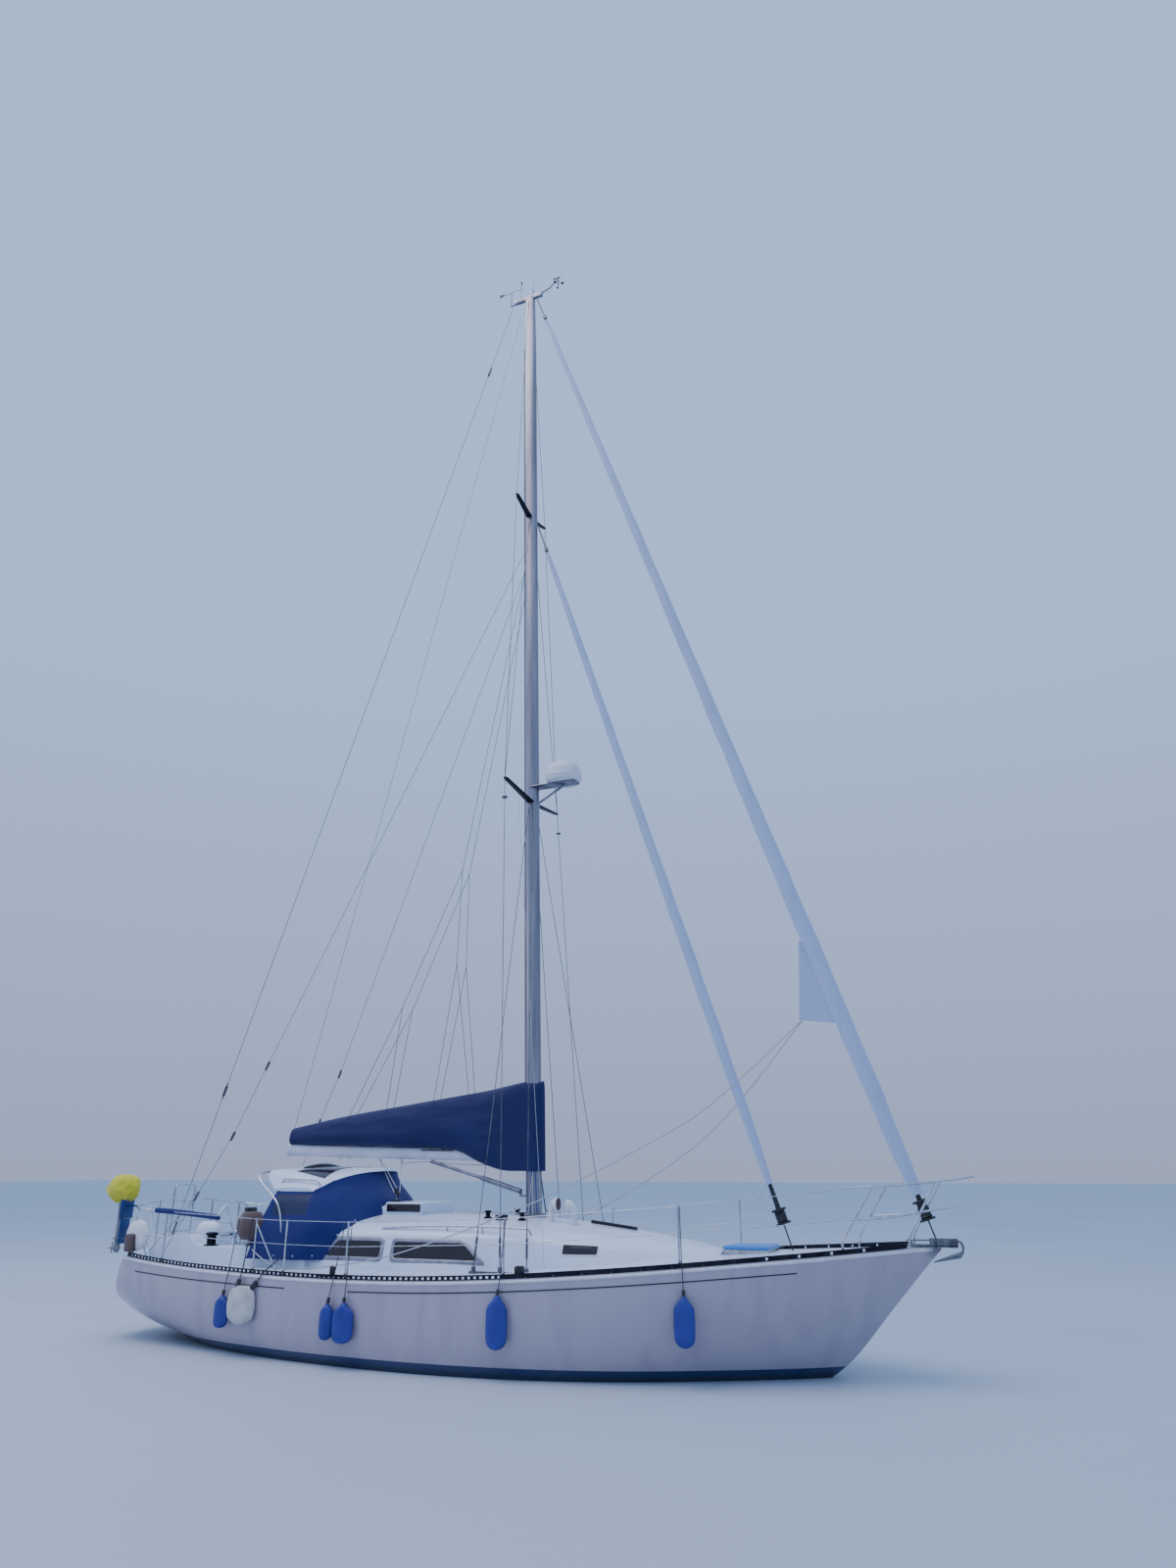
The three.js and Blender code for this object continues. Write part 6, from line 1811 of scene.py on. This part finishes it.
# %% Running backstays
RUNNERS = {"starboard": [(0.17, -0.08, 11.2), (-3.23, -0.8, 3.386), (-3.6, -0.9, 2.485), (-4.0, -1.0, 1.74),
                         (-4.62, -1.12, 1.02)],
           "port": [(0.17, 0.08, 11.2), (-3.2, 0.8, 3.4), (-3.57, 0.9, 2.72), (-4.24, 1.05, 1.26),
                    (-4.45, 1.1, 1.02)]}
for word, stops in RUNNERS.items():
    second_foot = (stops[4][0] + 0.25, stops[4][1] * 0.98, stops[4][2])
    blocks = [(part_way(spot, stops[0], -0.07), part_way(spot, stops[0], 0.05)) for spot in stops[1:4]]
    runs = thick(0.0035, *zip(stops, stops[1:]), (stops[3], second_foot)) + thick(0.018, *blocks)
    dressed(pipework(runs, 6), wire_strand, name=f"running_backstay_{word}")
print(len(RUNNERS), "running backstays")

# %% [markdown]
# The genoa's sheets lead from its loose corner, outside the shrouds, through a block on a track on the side
# deck and aft to the winches. A sheet is one smooth curve through points along its way.

# %% Genoa sheets and tracks
SHEETS = {"starboard": [(3.9, -0.01, 3.71), (3.07, -0.3, 2.947), (2.5, -0.55, 2.512), (1.125, -1.02, 1.79),
                        (0.67, -1.25, 1.597), (0.314, -1.38, 1.44), (-0.612, -1.53, 1.15),
                        (-1.377, -1.53, 1.02)],
          "port": [(3.9, 0.01, 3.71), (2.6, 0.5, 2.5), (1.1, 1.1, 1.7), (0.2, 1.36, 1.36), (-0.7, 1.5, 1.12),
                   (-1.377, 1.53, 1.02)]}
DARK_STRIP_SECTION = ((0.1, 0.0), (0.1, 0.045), (0.13, 0.045), (0.13, 0.0))  # inboard of the deck edge, and rise
for side, word in SIDES:
    aft = [(-2.2, side * 1.46, 0.97), (-2.75, side * 1.25, 1.1), (-3.0, side * 1.06, 1.17)]
    dressed(pipework(thick(0.0065, SHEETS[word] + aft), 8), white_rope, name=f"genoa_sheet_{word}")
    car = (-1.4, side * 1.53, deck_top(-1.4, side * 1.53))
    rail = box((-0.2, -0.015, 0), (0.25, 0.015, 0.022), 0.004, at=car)
    block = box((-0.03, -0.016, 0.022), (0.04, 0.016, 0.11), 0.012, at=car)
    # a black strip 30 mm wide and 45 mm high stands along the side deck, forward of the shrouds
    dark_deck_strip = loft([[(x, side * (deck_edge(x)[0] - out), deck_edge(x)[1] + rise)
                       for out, rise in DARK_STRIP_SECTION] for x in ticks(1.05, 3.3, 40)])
    lump = box((0.95, -0.04, 0.98), (1.05, 0.04, 1.09), 0.02, at=(0, side * 1.53, 0))
    dressed(joined(rail, block, dark_deck_strip, lump), black_plastic, name=f"deck_tracks_{word}")
print(len(SHEETS), "sheets")

# %% [markdown]
# Halyards come down inside the collar of the sail cover and fan out to the coachroof, where two small
# winches and a clutch stand on each side. A flag line runs from the spreader to the deck.

# %% Lines at the mast
for side, word in SIDES:
    stops = [(mast_x(2.06) + 0.03, side * 0.088, 2.06), (0.43, side * 0.17, 1.545),
             (-0.3, side * 0.26, 1.548), (-0.93, side * 0.3, 1.555)]
    runs = thick(LINE, stops[:2], stops[1:], (stops[0], (0.5, side * 0.19, 1.54)))
    dressed(pipework(runs, 6), white_rope, name=f"mast_lines_{word}")
    runs = []
    for forward, beside, deck_x in ((0.01, 0.087, 0.44), (0.06, 0.078, 0.53)):
        # between the mast and the collar
        inside = [(mast_x(z) + forward, side * beside, z) for z in (2.9, 2.02)]
        runs += thick(0.006, inside, (inside[1], (deck_x, side * 0.13, 1.56)))
    dressed(pipework(runs, 6), dark_rope if side > 0 else blue_rope, name=f"halyards_{word}")
    small = [turned([(r * 0.5, h * 0.45) for r, h in WINCH_PROFILE], (x, side * 0.4, ground(x, 0.4)), 24)
             for x in (0.0, 0.46)]
    clutch = box((0.14, -0.05, -0.01), (0.27, 0.05, 0.05), 0.01, at=(0, side * 0.44, ground(0.2, 0.44)))
    dressed(joined(*small, clutch), dark_anodised, name=f"roof_winches_{word}")
dressed(pipework(thick(0.0025, ((mast_x(6.98), -0.45, 6.98), (1.25, -1.44, 1.05))), 6), white_rope,
        name="flag_line")
print("lines at the mast")

# %% [markdown]
# Cowl vents turn their mouths fore and aft. A vent is a tube that widens along a bent line, with a red disc
# for its mouth. A dark track runs along the coachroof, and snaps hold the foot of the dodger's canvas.

# %% Deck fittings
for x, heading in ((0.8, 1), (1.1, -1)):
    word = "aft" if heading > 0 else "fore"
    y, foot = -0.3, ground(x, 0.3)
    spots = [(x + out * heading, y, foot + rise) for out, rise in ((0, -0.01), (0, 0.1), (0.01, 0.15),
                                                                   (0.045, 0.185), (0.09, 0.19))]
    bell = tube(flowing(spots, 4), lambda t: 0.04 + 0.04 * smoothstep(t, 0.45, 1), 20)
    dressed(smooth(bell, 50), white_plastic, name=f"vent_{word}")
    mouth = tube([(spots[4][0] + out * heading, y, spots[4][2]) for out in (-0.02, 0.004)], 0.068, 20)
    dressed(mouth, vent_red, name=f"vent_mouth_{word}")
TRACK_SECTION = ((-0.02, 0), (-0.02, 0.035), (0.02, 0.035), (0.02, 0))  # y and rise
roof_track = loft([[(x, y, ground(x, 0) + rise) for y, rise in TRACK_SECTION]
                   for x in ticks(1.2, 1.78, 12)])
bars = [box((-1.45, y - 0.004, 1.56), (-0.96, y + 0.004, 1.65), 0.002) for y in (-0.4, 0.4)]
dressed(joined(roof_track, *bars), smoked_pane, name="roof_track")


def ball(segments, rings, radius, place):
    """A sphere primitive at its size and place; radius is one number or three."""
    alone()
    bpy.ops.mesh.primitive_uv_sphere_add(segments=segments, ring_count=rings, radius=1, location=place)
    piece = bpy.context.object
    piece.scale = radius if isinstance(radius, tuple) else (radius,) * 3
    bpy.ops.object.transform_apply()
    return piece


places = [column[2] for share in (3, 12, 20, 27, 34, 40) for column in (columns[share], columns[-1 - share])]
snaps = [ball(10, 6, 0.008, (x, y * 1.006, z)) for x, y, z in places]
dressed(smooth(joined(*snaps)), white_plastic, name="canvas_snaps")
print(len(snaps), "snaps")

# %% [markdown]
# An inflated fender is a soft bottle that flattens a little where it lies on the topsides. It is lofted from
# a table of its form, and hangs on a line that goes over the toe rail to a lifeline.

# %% Fenders
# x, lowest and highest point, half width, and where its line meets the rail
FENDERS = [(-2.94, 0.3, 0.66, 0.1, -2.88), (-1.3, 0.28, 0.66, 0.085, -1.2), (-1.07, 0.26, 0.67, 0.135, -1.1),
           (0.83, 0.3, 0.82, 0.12, 0.86), (2.76, 0.37, 0.85, 0.11, 2.72)]
FENDER_FORM = [(0, 0.05), (0.02, 0.4), (0.1, 0.85), (0.25, 1), (0.7, 1), (0.8, 0.84), (0.88, 0.5),
               (0.93, 0.3), (0.98, 0.24), (1, 0.1)]  # share of the height and of the half width
BAG_SHAPE = [(0, 0.3), (0.12, 0.8), (0.3, 0.98), (0.6, 1), (0.85, 0.86), (1, 0.5)]
BAG_X, BAG_SPAN, BAG_HALF = -2.62, (0.36, 0.77), 0.2
FENDER_DEPTH = 0.05


def beside_hull(x, z):
    """How far across a piece lies that hangs against the starboard topsides."""
    return side_point(x, z, -1, FENDER_DEPTH + 0.003)[1]


def hanging_line(foot, rail, share, radius, knot, knot_length):
    """Runs for a line from a piece over the deck edge to a rail, with a thicker knot at its foot."""
    over = beside_edge(mix(foot[0], rail[0], share), -1, 0.055, 0.012)
    return thick(radius, (foot, over), (over, rail)) + thick(knot, (foot, part_way(foot, over, knot_length)))


for number, (x, low, high, half, end) in enumerate(FENDERS):
    y = beside_hull(x, high)
    rings = []
    for t in ticks(0, 1, 30):
        reach = half * along(FENDER_FORM, t, 1)
        rings.append(oval((x, y, mix(low, high, t)), (reach, min(FENDER_DEPTH, reach)), 24))
    dressed(smooth(loft(rings), 60), fender_blue, name=f"fender_{number}")
    rail = (end, -deck_edge(end)[0] + 0.04, deck_edge(end)[1] + LIFELINES[1])
    runs = hanging_line((x, y, high - 0.02), rail, 0.4, 0.005, 0.02, 0.07)
    dressed(pipework(runs, 8), dark_rope, name=f"fender_{number}_line")

y = beside_hull(BAG_X, 0.76)
rings = []
for t in ticks(0, 1, 20):
    share = along(BAG_SHAPE, t, 1)
    rings.append(oval((BAG_X, y, mix(*BAG_SPAN, t)), (BAG_HALF * share, FENDER_DEPTH * share), 28))
dressed(smooth(loft(rings), 60), fender_white, name="fender_bag")
runs = []
for start, end, top in ((-2.7, -2.67, 1.5), (-2.49, -2.12, 1.1)):
    runs += hanging_line((start, y, 0.75), (end, -deck_edge(end)[0] + 0.05, top), 0.5, 0.007, 0.028, 0.09)
dressed(pipework(runs, 8), dark_rope, name="fender_bag_lines")
print(len(FENDERS), "fenders and a bag")

# %% [markdown]
# Loose gear hangs on the rails aft: a padded sleeve, a flat round case for a lifebuoy, a bag, and tubes
# clipped to the posts. A moulded hump stands by the helm and a canvas bag covers the winch.

# %% Gear on the stern rail
pad_rail = [(-4.5, -1.16, 1.56), (-4.1, -1.165, 1.54), (-3.42, -1.2, 1.49)]
sleeve = tube(flowing(pad_rail, 8), 0.032, 18)
dressed(smooth(sleeve, 60), blue_canvas, name="rail_pad")
buoy = ball(40, 20, (0.19, 0.06, 0.19), (-4.83, -1.09, 1.25))
dressed(smooth(buoy, 60), white_plastic, name="lifebuoy_case")
case = box((-4.96, -1.19, 1.05), (-4.8, -1.1, 1.27))
dressed(smooth(softened(case, 0.035, 4)), brown_canvas, name="rail_case")
runs = [(((-5.05, -0.56, 1.45), (-5.05, -0.56, 1.91)), 0.007),
        (((-4.647, -1.1, 1.62), (-4.592, -1.1, 1.33)), 0.02),
        (((-5.0, -1.0, 1.56), (-4.65, -1.06, 1.1)), 0.012)]
dressed(pipework(runs, 10), white_plastic, name="rail_tubes")
HUMP = ((1.0, 0.8), (1.2, 0.95), (1.32, 0.92), (1.38, 0.75), (1.41, 0.45), (1.417, 0.05))  # z and share
hump = loft([oval((-4.09, -0.6, z), (0.21 * share, 0.11 * share), 32) for z, share in HUMP])
dressed(smooth(hump, 50), moulded_gelcoat, name="helm_hump")


def winch_bag_ring(t):
    wide = 0.195 * sin(pi * (0.14 + 0.74 * t)) ** 0.5
    return [(-2.98 + wide * cos(a) * (1 + 0.08 * sin(5 * a + 4 * t)), -1.1 + 0.6 * wide * sin(a),
             mix(1.24, 1.56, t)) for a in all_round(30)]


winch_cover = smooth(loft([winch_bag_ring(t) for t in ticks(0, 1, 14)]), 60)
dressed(winch_cover, brown_canvas, name="winch_bag")
pod = box((-3.95, -0.1, 1.5), (-3.89, 0.1, 1.57), 0.012)
dials = [turned([(0, 0), (0.028, 0), (0.028, 0.012), (0, 0.012)], (-3.962, y, 1.535), 24, axis="X")
         for y in (-0.05, 0.05)]
dressed(joined(pod, *dials), black_plastic, name="instruments")
print("loose gear")
